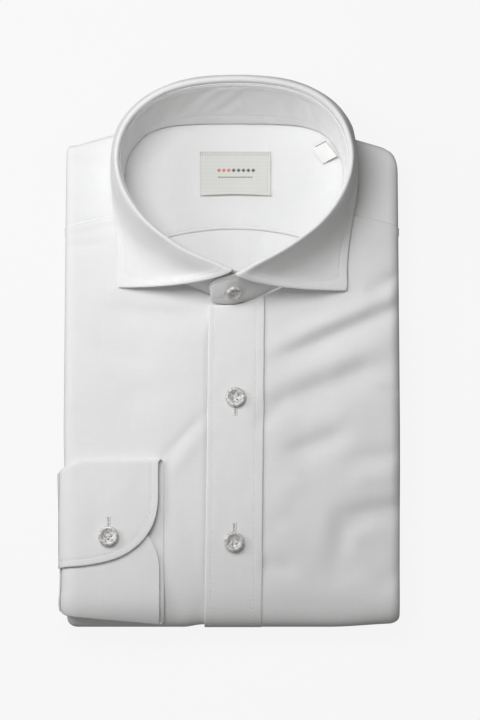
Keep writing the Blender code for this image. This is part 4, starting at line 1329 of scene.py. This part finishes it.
def cuff_relief(across, down, part):
    soft = 0.25 * noise.noise(Vector((across / 20, down / 26, 7.7)))
    soft += 0.10 * noise.noise(Vector((across / 8, down / 9, 2.2)))
    if part == "flap":
        inside = flap_edge_distance(across, down) - CUFF_STITCH
        soft += groove(inside) + 0.7 * pucker(across + down, inside, 21.0)
        for x, y, wide, tall, height in CUFF_DENTS:
            soft += height * math.exp(-(((across - x) / wide) ** 2) - ((down - y) / tall) ** 2)
    return soft


def cuff_out(down, out):
    return out + 0.55 * body_fall(down)


def cuff_place(share, index):
    across, down, out, part = cuff_path(share)[index]
    return lifted(LEFT, across, down, cuff_out(down, out) + cuff_relief(across, down, part))


cuff_shares = [0, 0.002, 0.006, 0.014, 0.026, 0.044, 0.058, 0.066, 0.073, 0.081, 0.095, 0.12, 0.15]
cuff_shares += steps(0.19, 0.94, 24) + [0.96, 0.98, 1.0]
cuff_rows = list(range(len(cuff_path(0.5))))
cloth("cuff_band", "cuff", cuff_shares, cuff_rows, cuff_place, CUFF_WALL, 1, offset=0.0)

# %% Sleeve
SLEEVE_TURNED_IN = 20.0


def sleeve_path(low, high):
    top, bottom = cuff_top(CUFF_SEAM_ACROSS) + 0.4, CUFF_BOTTOM_DOWN - CUFF_BOTTOM_RISE - 0.5
    middle = (high - low) / 2
    found = [(d, low) for d in steps(99, bottom - middle, 16)]
    for turn in HALF_TURN:
        found.append((bottom - middle + middle * math.sin(turn), low + middle - middle * math.cos(turn)))
    found += [(d, high) for d in steps(bottom - middle, top + middle, 24)]
    for turn in HALF_TURN:
        found.append((top + middle - middle * math.sin(turn), low + middle + middle * math.cos(turn)))
    return found + [(d, low) for d in steps(top + middle, 98.8, 8)]


def sleeve_place(column, index):
    kind, value = column
    start = CUFF_SEAM_ACROSS + 0.5
    inside = {"start": 0.0, "roll": smooth(math.radians(110), math.pi, value), "in": 1.0}[kind]
    down, out = sleeve_path(mix(1.3, 1.1, inside), mix(3.9, 3.0, inside))[index]
    if kind == "start":
        across = mix(start, across_of(LEFT, ("roll", math.radians(108)), down), value)
    else:
        across = across_of(LEFT, column, down)
    gather = 0.18 * noise.noise(Vector((across / 18, down / 5.0, 3.9)))
    return lifted(LEFT, across, down, cuff_out(down, out) + (gather if out > 2.5 else 0.0))


sleeve_columns = [("start", t) for t in steps(0, 0.85, 5)]
sleeve_columns += [("roll", math.radians(a)) for a in steps(108, 180, 8)]
sleeve_columns += [("in", SLEEVE_TURNED_IN * t) for t in (0.2, 0.45, 0.7, 1)]
sleeve_rows = list(range(len(sleeve_path(1, 3))))
cloth("sleeve_end", "sleeve", sleeve_columns, sleeve_rows, sleeve_place, 1.0, -1, "", offset=0.0)

# %% Cuff stitches


def cuff_face(place, rise):
    across, down = place
    relief = cuff_relief(across, down, "flap")
    return lifted(LEFT, across, down, cuff_out(down, CUFF_LAYERS[2]) + relief + CUFF_WALL / 2 + 0.03 + rise)


wide, tall, power = CORNER_ACROSS["flap"], CORNER_DOWN["flap"], CORNER_POWER_OF_CUFF
inner = CUFF_INNER["flap"]
line = [(inner + CUFF_STITCH, down) for down in steps(CUFF_TOP_DOWN + 3, flap_line(60) - tall, 50)]
for angle in steps(0, math.pi / 2, 60):
    a, b = math.cos(angle) ** (2 / power), math.sin(angle) ** (2 / power)
    shrink = 1 - CUFF_STITCH / ((a * a * wide + b * b * tall) / (a * a + b * b))
    across = inner + wide * (1 - shrink * a)
    line.append((across, flap_line(across) - tall * (1 - shrink * b)))
for across in steps(inner + wide, CUFF_SEAM_ACROSS - 1, 4)[1:]:
    line.append((across, flap_line(across) - CUFF_STITCH))
stitches("cuff_stitches", [seam_path(cuff_face, line)])

# %% [markdown]
# ## The layers between the fronts
# Between the two halves lies the rest of the shirt: back, tail and second sleeve. Only its edges show,
# in the slot at the side and at the far end, so it is one block, layered where it can be seen.

# %% Hidden layers


def layers_ring(y):
    """Half section of the hidden layers at y, from the top middle to the bottom middle."""
    top_skin, low_skin = 3.6, 1.6
    turned = INNER_GAP + 1.6
    in_neck = smooth(8, 16, y)
    past_hem = smooth(108, 120, y)

    def top(x):
        full = FOLD_PLANE_Z + min(upper_thick(x, -y), upper_thick(-x, -y)) - top_skin
        return mix(full, INSIDE_Z - 1.8, in_neck)

    shoulder = smooth(112, 124, y)
    full_top = FOLD_PLANE_Z + mix(12.4, 11, smooth(40, 120, y)) - top_skin
    full_top = mix(min(top(77), top(96)), full_top, in_neck)
    edge = half_width(LEFT, -y) - 3.2
    reach_up = mix(edge, 74, shoulder)
    reach_mid = mix(edge + 0.6, 72.6, shoulder)
    reach_low = mix(edge, 74, past_hem)
    rim = 69.0
    bottom = mix(low_skin, 10.5, past_hem)
    lap_bottom = mix(low_skin + LAP, 10.5, past_hem)
    low_top = FOLD_PLANE_Z - turned - 0.1
    wave = 0.5 * noise.noise(Vector((y / 11, 0.5, 0.5)))
    return [
        (0, top(0)), (34, top(34)), (66, top(66)), (76, mix(full_top, top(66), in_neck)),
        (79, full_top), (reach_up - 5, full_top), (reach_up, 20), (reach_up - 5, FOLD_PLANE_Z + turned),
        (rim, FOLD_PLANE_Z + turned), (rim, FOLD_PLANE_Z + 1.6),
        (reach_mid - 2.0 + wave, FOLD_PLANE_Z + 1.6), (reach_mid - 1.2 + wave, FOLD_PLANE_Z + 1.5),
        (reach_mid - 0.7 + wave, FOLD_PLANE_Z + 1.0), (reach_mid - 1.4 + wave, FOLD_PLANE_Z + 0.5),
        (reach_mid - 0.3, FOLD_PLANE_Z + 0.1), (reach_mid - 0.2, FOLD_PLANE_Z - 0.3),
        (reach_mid - 1.5 - wave, FOLD_PLANE_Z - 0.6), (reach_mid - 0.8 - wave, FOLD_PLANE_Z - 1.1),
        (reach_mid - 1.6 - wave, FOLD_PLANE_Z - 1.6),
        (rim, FOLD_PLANE_Z - 1.6), (rim, low_top), (reach_low - 5, low_top), (reach_low, 5.6),
        (reach_low - 5, low_skin), (37, bottom), (32, lap_bottom), (0, lap_bottom),
    ]


def block(bm, columns, rows, place):
    """A closed tube through place(column, row), whose last column meets its first."""
    along = len(rows) - 1
    made = bmesh.ops.create_grid(bm, x_segments=columns, y_segments=along, size=1)["verts"]
    for vert in made:
        i = round((vert.co.x + 1) / 2 * columns) % columns
        j = round((vert.co.y + 1) / 2 * along)
        vert.co = at(place(i, rows[j]))
    bmesh.ops.remove_doubles(bm, verts=made, dist=1e-6)
    bmesh.ops.holes_fill(bm, edges=[edge for edge in bm.edges if edge.is_boundary])


def layers_place(index, y):
    half_ring = layers_ring(y)
    last = len(half_ring) - 1
    side = RIGHT if index <= last else LEFT
    k = index if side == RIGHT else 2 * last - index
    x, z = half_ring[k]
    sleeve_side = 1 - smooth(-62, -54, y)
    if side == LEFT and 10 <= k <= 18:  # the sleeve fills this place on the left
        x = mix(x, 69.3 + 0.1 * (k - 10), sleeve_side)
    return Vector((side * x, y, z))


bm = bmesh.new()
ring_points = 2 * (len(layers_ring(0.0)) - 1)
layer_rows = steps(-160.3, -62, 33) + steps(-60, -54, 4) + steps(-50, 6, 16)
layer_rows += [10, 14, 18] + steps(22, 109.5, 24)
block(bm, ring_points, layer_rows, layers_place)
bmesh.ops.recalc_face_normals(bm, faces=bm.faces)
cut = bm.loops.layers.uv.new(UV_NAME)
for face in bm.faces:
    for loop in face.loops:
        loop[cut].uv = (loop.vert.co.x * 10, loop.vert.co.y * 10)
LAYERS = show(bm, "hidden_layers", POPLIN, "cotton")
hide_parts("folded_layers")


def neck_pad_place(share_x, share_y):
    x = mix(-68, 68, share_x)
    y = mix(98, neck_seam_y(x * YOKE_REACH / 68) - 1.5, share_y)
    return Vector((COLLAR_X + x, y, INSIDE_Z - 1.4))


cloth("layers_under_the_inner_yoke", None, steps(0, 1, 60), steps(0, 1, 20), neck_pad_place, 3.6, 1, "lre")


def shoulder_pad(side):
    def place(share_x, share_y):
        return Vector((side * mix(78.3, 95.0, share_x), mix(93, 121.5, share_y), 21.6))

    return place


for side, word in SIDES:
    name = "layers_in_" + word + "_shoulder"
    cloth(name, None, steps(0, 1, 8), steps(0, 1, 8), shoulder_pad(side), 4.2, side, "")
print("hidden layers", len(LAYERS.data.polygons), "faces")

# %% [markdown]
# ## Labels
# The neck label is woven damask, sewn to the inner yoke along its top and sides, so its lower edge lifts
# a little. It carries a plain woven mark of diamonds and dashes. The size tag is a bare folded tape.

# %% Neck label and size tag
LABEL_MIDDLE = (2.0, 115.6)
LABEL_WIDE, LABEL_TALL = 22.5, 14.5  # half sizes
LABEL_LIFT, LABEL_BOW = 1.5, 0.7
LABEL_RIB = 1.5


def label_place(x, y):
    low = 1 - smooth(-LABEL_TALL, -9, y)
    across = math.cos(x / LABEL_WIDE * math.pi / 2)
    lift = LABEL_LIFT * low * (0.6 + 0.4 * across)
    side_dip = -0.25 * math.exp(-((LABEL_WIDE - abs(x) - 1.2) ** 2))
    top_dip = -0.25 * math.exp(-((LABEL_TALL - y - 1.4) ** 2))
    rib = 0.12 * math.sin(x * math.tau / LABEL_RIB) * smooth(11.0, 12.2, y)
    wave = 0.2 * noise.noise(Vector((x / 12, y / 9, 0.4)))
    bow = LABEL_BOW * low * across
    height = 0.75 + lift + side_dip + top_dip + rib + wave
    return Vector((LABEL_MIDDLE[0] + x, LABEL_MIDDLE[1] + y + bow, INSIDE_Z + height))


label_x = [-22.5, -22.2, -21.8, -21.2, -20.4] + steps(-19.8, 19.8, 106) + [20.4, 21.2, 21.8, 22.2, 22.5]
label_y = [-14.5, -14.2, -13.7, -12.9] + steps(-11.5, 10.5, 16) + [11.2, 11.8, 12.5, 13.1, 13.7, 14.2, 14.5]
WOVEN = {"slot": "woven_label"}
cloth("neck_label_cloth", "neck_label", label_x, label_y, label_place, 0.5, 1, finish=LABEL_CLOTH, **WOVEN)
TAG_CORNER = Vector((67.0, 126.4, 0))
TAG_ALONG = Vector((-7.4, 10.4, 0))
TAG_BESIDE = Vector((-9.4, -4.6, 0))


def tag_place(u, v):
    point = TAG_CORNER + TAG_ALONG * v + TAG_BESIDE * u
    point.z = INSIDE_Z + 0.9 + 1.1 * (1 - u) ** 2 + 0.25 * math.sin(math.pi * v) * u
    return point


tag_steps = steps(0, 1, 12)
cloth("size_tag_tape", "size_tag", tag_steps, tag_steps, tag_place, 0.6, -1, finish=TAG_CLOTH, **WOVEN)


def label_face(place, rise):
    return label_place(*place) + Vector((0, 0, 0.05 + rise))


outlines = [[(x, 13.1) for x in steps(-21.0, 21.0, 40)]]
outlines += [[(x, y) for y in steps(12, -12, 24)] for x in (-21.3, 21.3)]
stitches("label_stitches", [seam_path(label_face, outline) for outline in outlines], 2.2, (1.7, 0.36, 0.3))

# %% [markdown]
# ## Buttons
# A four-hole shirt button is turned from a disc: a raised rim, a dished middle, and four holes. It is
# spun from its half section, drilled, and only then moved to its place, so that its object stays at
# the origin. The CAD node has 16 sides, which shows in the picture, so a rounder one stands for it.

# %% Buttons
HOLE_RADIUS = 0.72
HOLE_SPREAD = 1.35
FRONT_FACE = LAP + SEAM_GAP + 1.0
FRONT_BUTTON, COLLAR_BUTTON = 12.4, 10.6
BUTTON_DOWNS = {"button_front_upper": 31.5, "button_front_lower": 122.0}
CUFF_BUTTON = (76.0, 119.0)  # across and down
BUTTON_PROFILE = (
    # share of the radius, height
    (0.0, 1.30), (0.34, 1.32), (0.50, 1.42), (0.58, 1.80), (0.66, 2.22), (0.76, 2.38), (0.86, 2.36),
    (0.94, 2.12), (0.99, 1.62), (1.0, 1.15), (0.97, 0.6), (0.88, 0.2), (0.7, 0.02), (0.0, 0.0),
)


def turned_disc(radius):
    bm = bmesh.new()
    verts = [bm.verts.new((share * radius * MM, 0, z * MM)) for share, z in BUTTON_PROFILE]
    edges = [bm.edges.new(pair) for pair in zip(verts, verts[1:])]
    bmesh.ops.spin(
        bm, geom=verts + edges, cent=(0, 0, 0), axis=(0, 0, 1), dvec=(0, 0, 0), angle=math.tau,
        steps=56, use_merge=True, use_duplicate=False,
    )
    bmesh.ops.remove_doubles(bm, verts=bm.verts, dist=1e-6)
    bmesh.ops.recalc_face_normals(bm, faces=bm.faces)
    return bm


def four_drills():
    bm = bmesh.new()
    for x, y in ((1, 1), (1, -1), (-1, 1), (-1, -1)):
        move = Matrix.Translation(Vector((x, y, 0)) * HOLE_SPREAD * MM)
        bmesh.ops.create_cone(
            bm, cap_ends=True, segments=14, radius1=HOLE_RADIUS * MM, radius2=HOLE_RADIUS * MM,
            depth=8 * MM, matrix=move,
        )
    return bm


def drilled(disc, drills):
    """The disc with its holes cut, as a mesh."""
    helpers = []
    for name, bm in (("disc", disc), ("drills", drills)):
        mesh = bpy.data.meshes.new(name)
        bm.to_mesh(mesh)
        bm.free()
        helpers.append(bpy.data.objects.new(name, mesh))
        bpy.context.scene.collection.objects.link(helpers[-1])
    holes = helpers[0].modifiers.new("holes", "BOOLEAN")
    holes.solver = "EXACT"
    holes.object = helpers[1]
    mesh = bpy.data.meshes.new_from_object(helpers[0].evaluated_get(bpy.context.evaluated_depsgraph_get()))
    for obj in helpers:
        bpy.data.objects.remove(obj, do_unlink=True)
    return mesh


def button_thread(matrix, cross):
    """Three strands of thread through each pair of holes, crossed or side by side."""
    bm = bmesh.new()
    pairs = [((-1, -1), (1, 1)), ((-1, 1), (1, -1))] if cross else [((-1, -1), (-1, 1)), ((1, -1), (1, 1))]
    for (x0, y0), (x1, y1) in pairs:
        start, end = Vector((x0, y0, 0)) * HOLE_SPREAD, Vector((x1, y1, 0)) * HOLE_SPREAD
        ahead = (end - start).normalized()
        beside = Vector((-ahead.y, ahead.x, 0))
        turn = Matrix((ahead, beside, Vector((0, 0, 1)))).transposed().to_4x4()
        scale = Matrix.Diagonal((((end - start).length / 2 + 0.45) * MM, 0.19 * MM, 0.32 * MM, 1.0))
        for strand, height in ((-0.3, 1.45), (0.0, 1.57), (0.3, 1.45)):
            middle = (start + end) / 2 + beside * strand + Vector((0, 0, height))
            local = Matrix.Translation(middle * MM) @ turn @ scale
            bmesh.ops.create_icosphere(bm, subdivisions=2, radius=1, matrix=matrix @ local)
    return bm


def put_button(node, diameter, point, normal, cross):
    """Makes one button and its thread where its CAD node is."""
    turn = normal.to_track_quat("Z", "Y").to_matrix().to_4x4()
    matrix = Matrix.Translation(at(point)) @ turn
    bm = bmesh.new()
    bm.from_mesh(drilled(turned_disc(diameter / 2), four_drills()))
    bmesh.ops.transform(bm, matrix=matrix, verts=bm.verts)
    button = show(bm, "pearl_" + node, PEARL_AND_GLINTS, "button_shell")
    button.data.set_sharp_from_angle(angle=math.radians(40))
    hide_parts(node)
    show(button_thread(matrix, cross), "thread_of_" + node, THREAD, "cotton")


def raised(side, across, down, out, share):
    """A point lifted off the cloth by out and a share of a millimetre, with the direction outwards."""
    low, high = lifted(side, across, down, out), lifted(side, across, down, out + 1)
    return low + (high - low) * share, high - low


for node, down in BUTTON_DOWNS.items():
    point, normal = raised(RIGHT, placket_middle(down), down, FRONT_FACE, 0.4)
    put_button(node, FRONT_BUTTON, point, normal, node == "button_front_upper")
point, normal = raised(LEFT, *CUFF_BUTTON, 6.0, 0.5)
put_button("button_cuff", FRONT_BUTTON, point, normal, True)
foot, top = stand_point(RIGHT, 9.0, 0.0), stand_point(RIGHT, 9.0, 1.0)
beside = stand_point(RIGHT, 9.1, 0.5) - stand_point(RIGHT, 8.9, 0.5)
normal = (top - foot).cross(beside).normalized()
normal = -normal if normal.y > 0 else normal
point = stand_point(RIGHT, 9.0, 0.5) + normal * (STAND_THICK / 2 + 0.4)
put_button("button_collar", COLLAR_BUTTON, point, normal, False)
print("four buttons")

# %% [markdown]
# ## Buttonholes
# A shirt buttonhole is a slit bound with close satin stitches. It is longer than the button, so a few
# millimetres of it show beyond the button's edge. Each stitch lies square to the slit. The cut itself is a
# row of dark strips: painted shade.

# %% Buttonholes
# The dark strips down each slit are painted shade of the cut between the threads.
SLIT_SHADE, tree, shader, colour = clouded("shaded_slit_between_threads", "6E6C68", "94928E", 900.0, 0.9)
HOLE_LENGTH, COLLAR_HOLE_LENGTH = 16.0, 12.0
HOLE_SHIFTS = {"button_front_upper": 2.9, "button_front_lower": -3.4}
CUFF_HOLE_SHIFT = 4.0


def short_stitch(bm, low, high, ahead, size):
    """One stitch of the binding, centred on low and pointing ahead."""
    run = (ahead - low).normalized() * 0.6
    sew(bm, [(low - run, high - low), (low + run, high - low)], 2.0, size)


def buttonhole(thread, slit, face, length=HOLE_LENGTH):
    """Binds a slit of the given length and lays painted shade down its middle; face(along, beside, rise) is a
    point near the hole's middle.
    """
    end = length / 2
    for edge in (-0.75, 0.75):
        for along in steps(-end, end, round(length / 0.55)):
            low, high = face(along, edge, 0.08), face(along, edge, 1.08)
            short_stitch(thread, low, high, face(along, edge + 0.5, 0.08), (1.35, 0.5, 0.4))
    for way in (-1, 1):
        for beside in steps(-1.2, 1.2, 6):
            low, high = face(way * end, beside, 0.1), face(way * end, beside, 1.1)
            short_stitch(thread, low, high, face(way * (end + 0.5), beside, 0.1), (1.4, 0.5, 0.45))
    middle = seam_path(lambda along, rise: face(along, 0, 0.02 + rise), steps(-end, end, 12))
    # Dark strips along the slit's middle: painted shade in the cut.
    sew(slit, middle, 3.0, (3.6, 0.42, 0.3))


def placket_hole(middle_down):
    return lambda along, beside, rise: placket_point(beside, middle_down + along, rise)


def cuff_hole(along, beside, rise):
    across, down = CUFF_BUTTON
    return cuff_face((across + beside, down - CUFF_HOLE_SHIFT + along), rise - 0.06)


def stand_hole(along, beside, rise):
    return stand_face(RIGHT, min(9.9, 9.0 - along / 15.0), 0.5 + beside / 31.0, 0.7 + rise)


thread, slit = bmesh.new(), bmesh.new()
for node, shift in HOLE_SHIFTS.items():
    buttonhole(thread, slit, placket_hole(BUTTON_DOWNS[node] + shift))
buttonhole(thread, slit, cuff_hole)
buttonhole(thread, slit, stand_hole, COLLAR_HOLE_LENGTH)
bindings = show(thread, "buttonhole_threads", THREAD, "cotton")
show(slit, "buttonhole_slit_shade", SLIT_SHADE, "cotton")
print("four buttonholes", len(bindings.data.polygons), "faces")

# %% [markdown]

# %% [markdown]
# ## Table and light
# The shirt lies on a white table that is lit from below as well as above, as product tables are, so its
# shadows are faint. One large soft light stands at the upper left, and the room fills the rest.

# %% Table
TABLE_GLOW = 0.895
TABLE_TOP_Z = -0.0004  # in metres, just clear of the shirt
TABLE, tree, shader, grain = clouded("lit_white_table", "3E3E3E", "404040", 2.0, 0.9)
ray = add_node(tree, "ShaderNodeLightPath", {}).outputs["Is Camera Ray"]
tree.links.new(blend(tree, ray, "7D7D7D", grain), shader.inputs["Base Color"])
shader.inputs["Emission Color"].default_value = (1.0, 1.0, 1.0, 1.0)
glow = add_node(tree, "ShaderNodeMath", {0: ray, 1: TABLE_GLOW}, operation="MULTIPLY")
tree.links.new(glow.outputs[0], shader.inputs["Emission Strength"])
shader.inputs["Specular IOR Level"].default_value = 0.0
bm = bmesh.new()
bmesh.ops.create_grid(bm, x_segments=8, y_segments=8, size=3.0)
bmesh.ops.translate(bm, vec=Vector((0, 0, TABLE_TOP_Z)), verts=bm.verts)
table_mesh = bpy.data.meshes.new("white_table")
bm.to_mesh(table_mesh)
bm.free()
table_mesh.materials.append(TABLE)
table = bpy.data.objects.new("white_table", table_mesh)
bpy.context.scene.collection.objects.link(table)
print("table", [round(v, 1) for v in table.dimensions])

# %% Light
LIGHT_AIM = Vector((0.0, 0.03, 0.02))


def soft_light(name, bearing, height, distance, size, watts):
    """A round soft light that faces the shirt; its bearing and height are in degrees."""
    data = bpy.data.lights.new(name, "AREA")
    data.color = (0.985, 0.992, 1.0)
    data.shape = "DISK"
    data.size = size
    data.energy = watts
    bearing, height = math.radians(bearing), math.radians(height)
    flat = math.cos(height)
    direction = Vector((math.cos(bearing) * flat, math.sin(bearing) * flat, math.sin(height)))
    lamp = bpy.data.objects.new(name, data)
    lamp.location = LIGHT_AIM + direction * distance
    lamp.rotation_euler = direction.to_track_quat("Z", "Y").to_euler()
    bpy.context.scene.collection.objects.link(lamp)


soft_light("upper_left_softbox", 136, 66, 0.66, 0.44, 2.53)
soft_light("low_left_softbox", 166, 31, 1.2, 0.45, 3.7)
world = bpy.data.worlds.new("studio_room")
world.use_nodes = True
room = world.node_tree.nodes["Background"]
room.inputs["Color"].default_value = (1.0, 0.98, 0.962, 1.0)
room.inputs["Strength"].default_value = 0.22
bpy.context.scene.world = world
bpy.context.scene.view_settings.view_transform = "Standard"
bpy.context.scene.view_settings.look = "None"
print("two softboxes and a bright room")
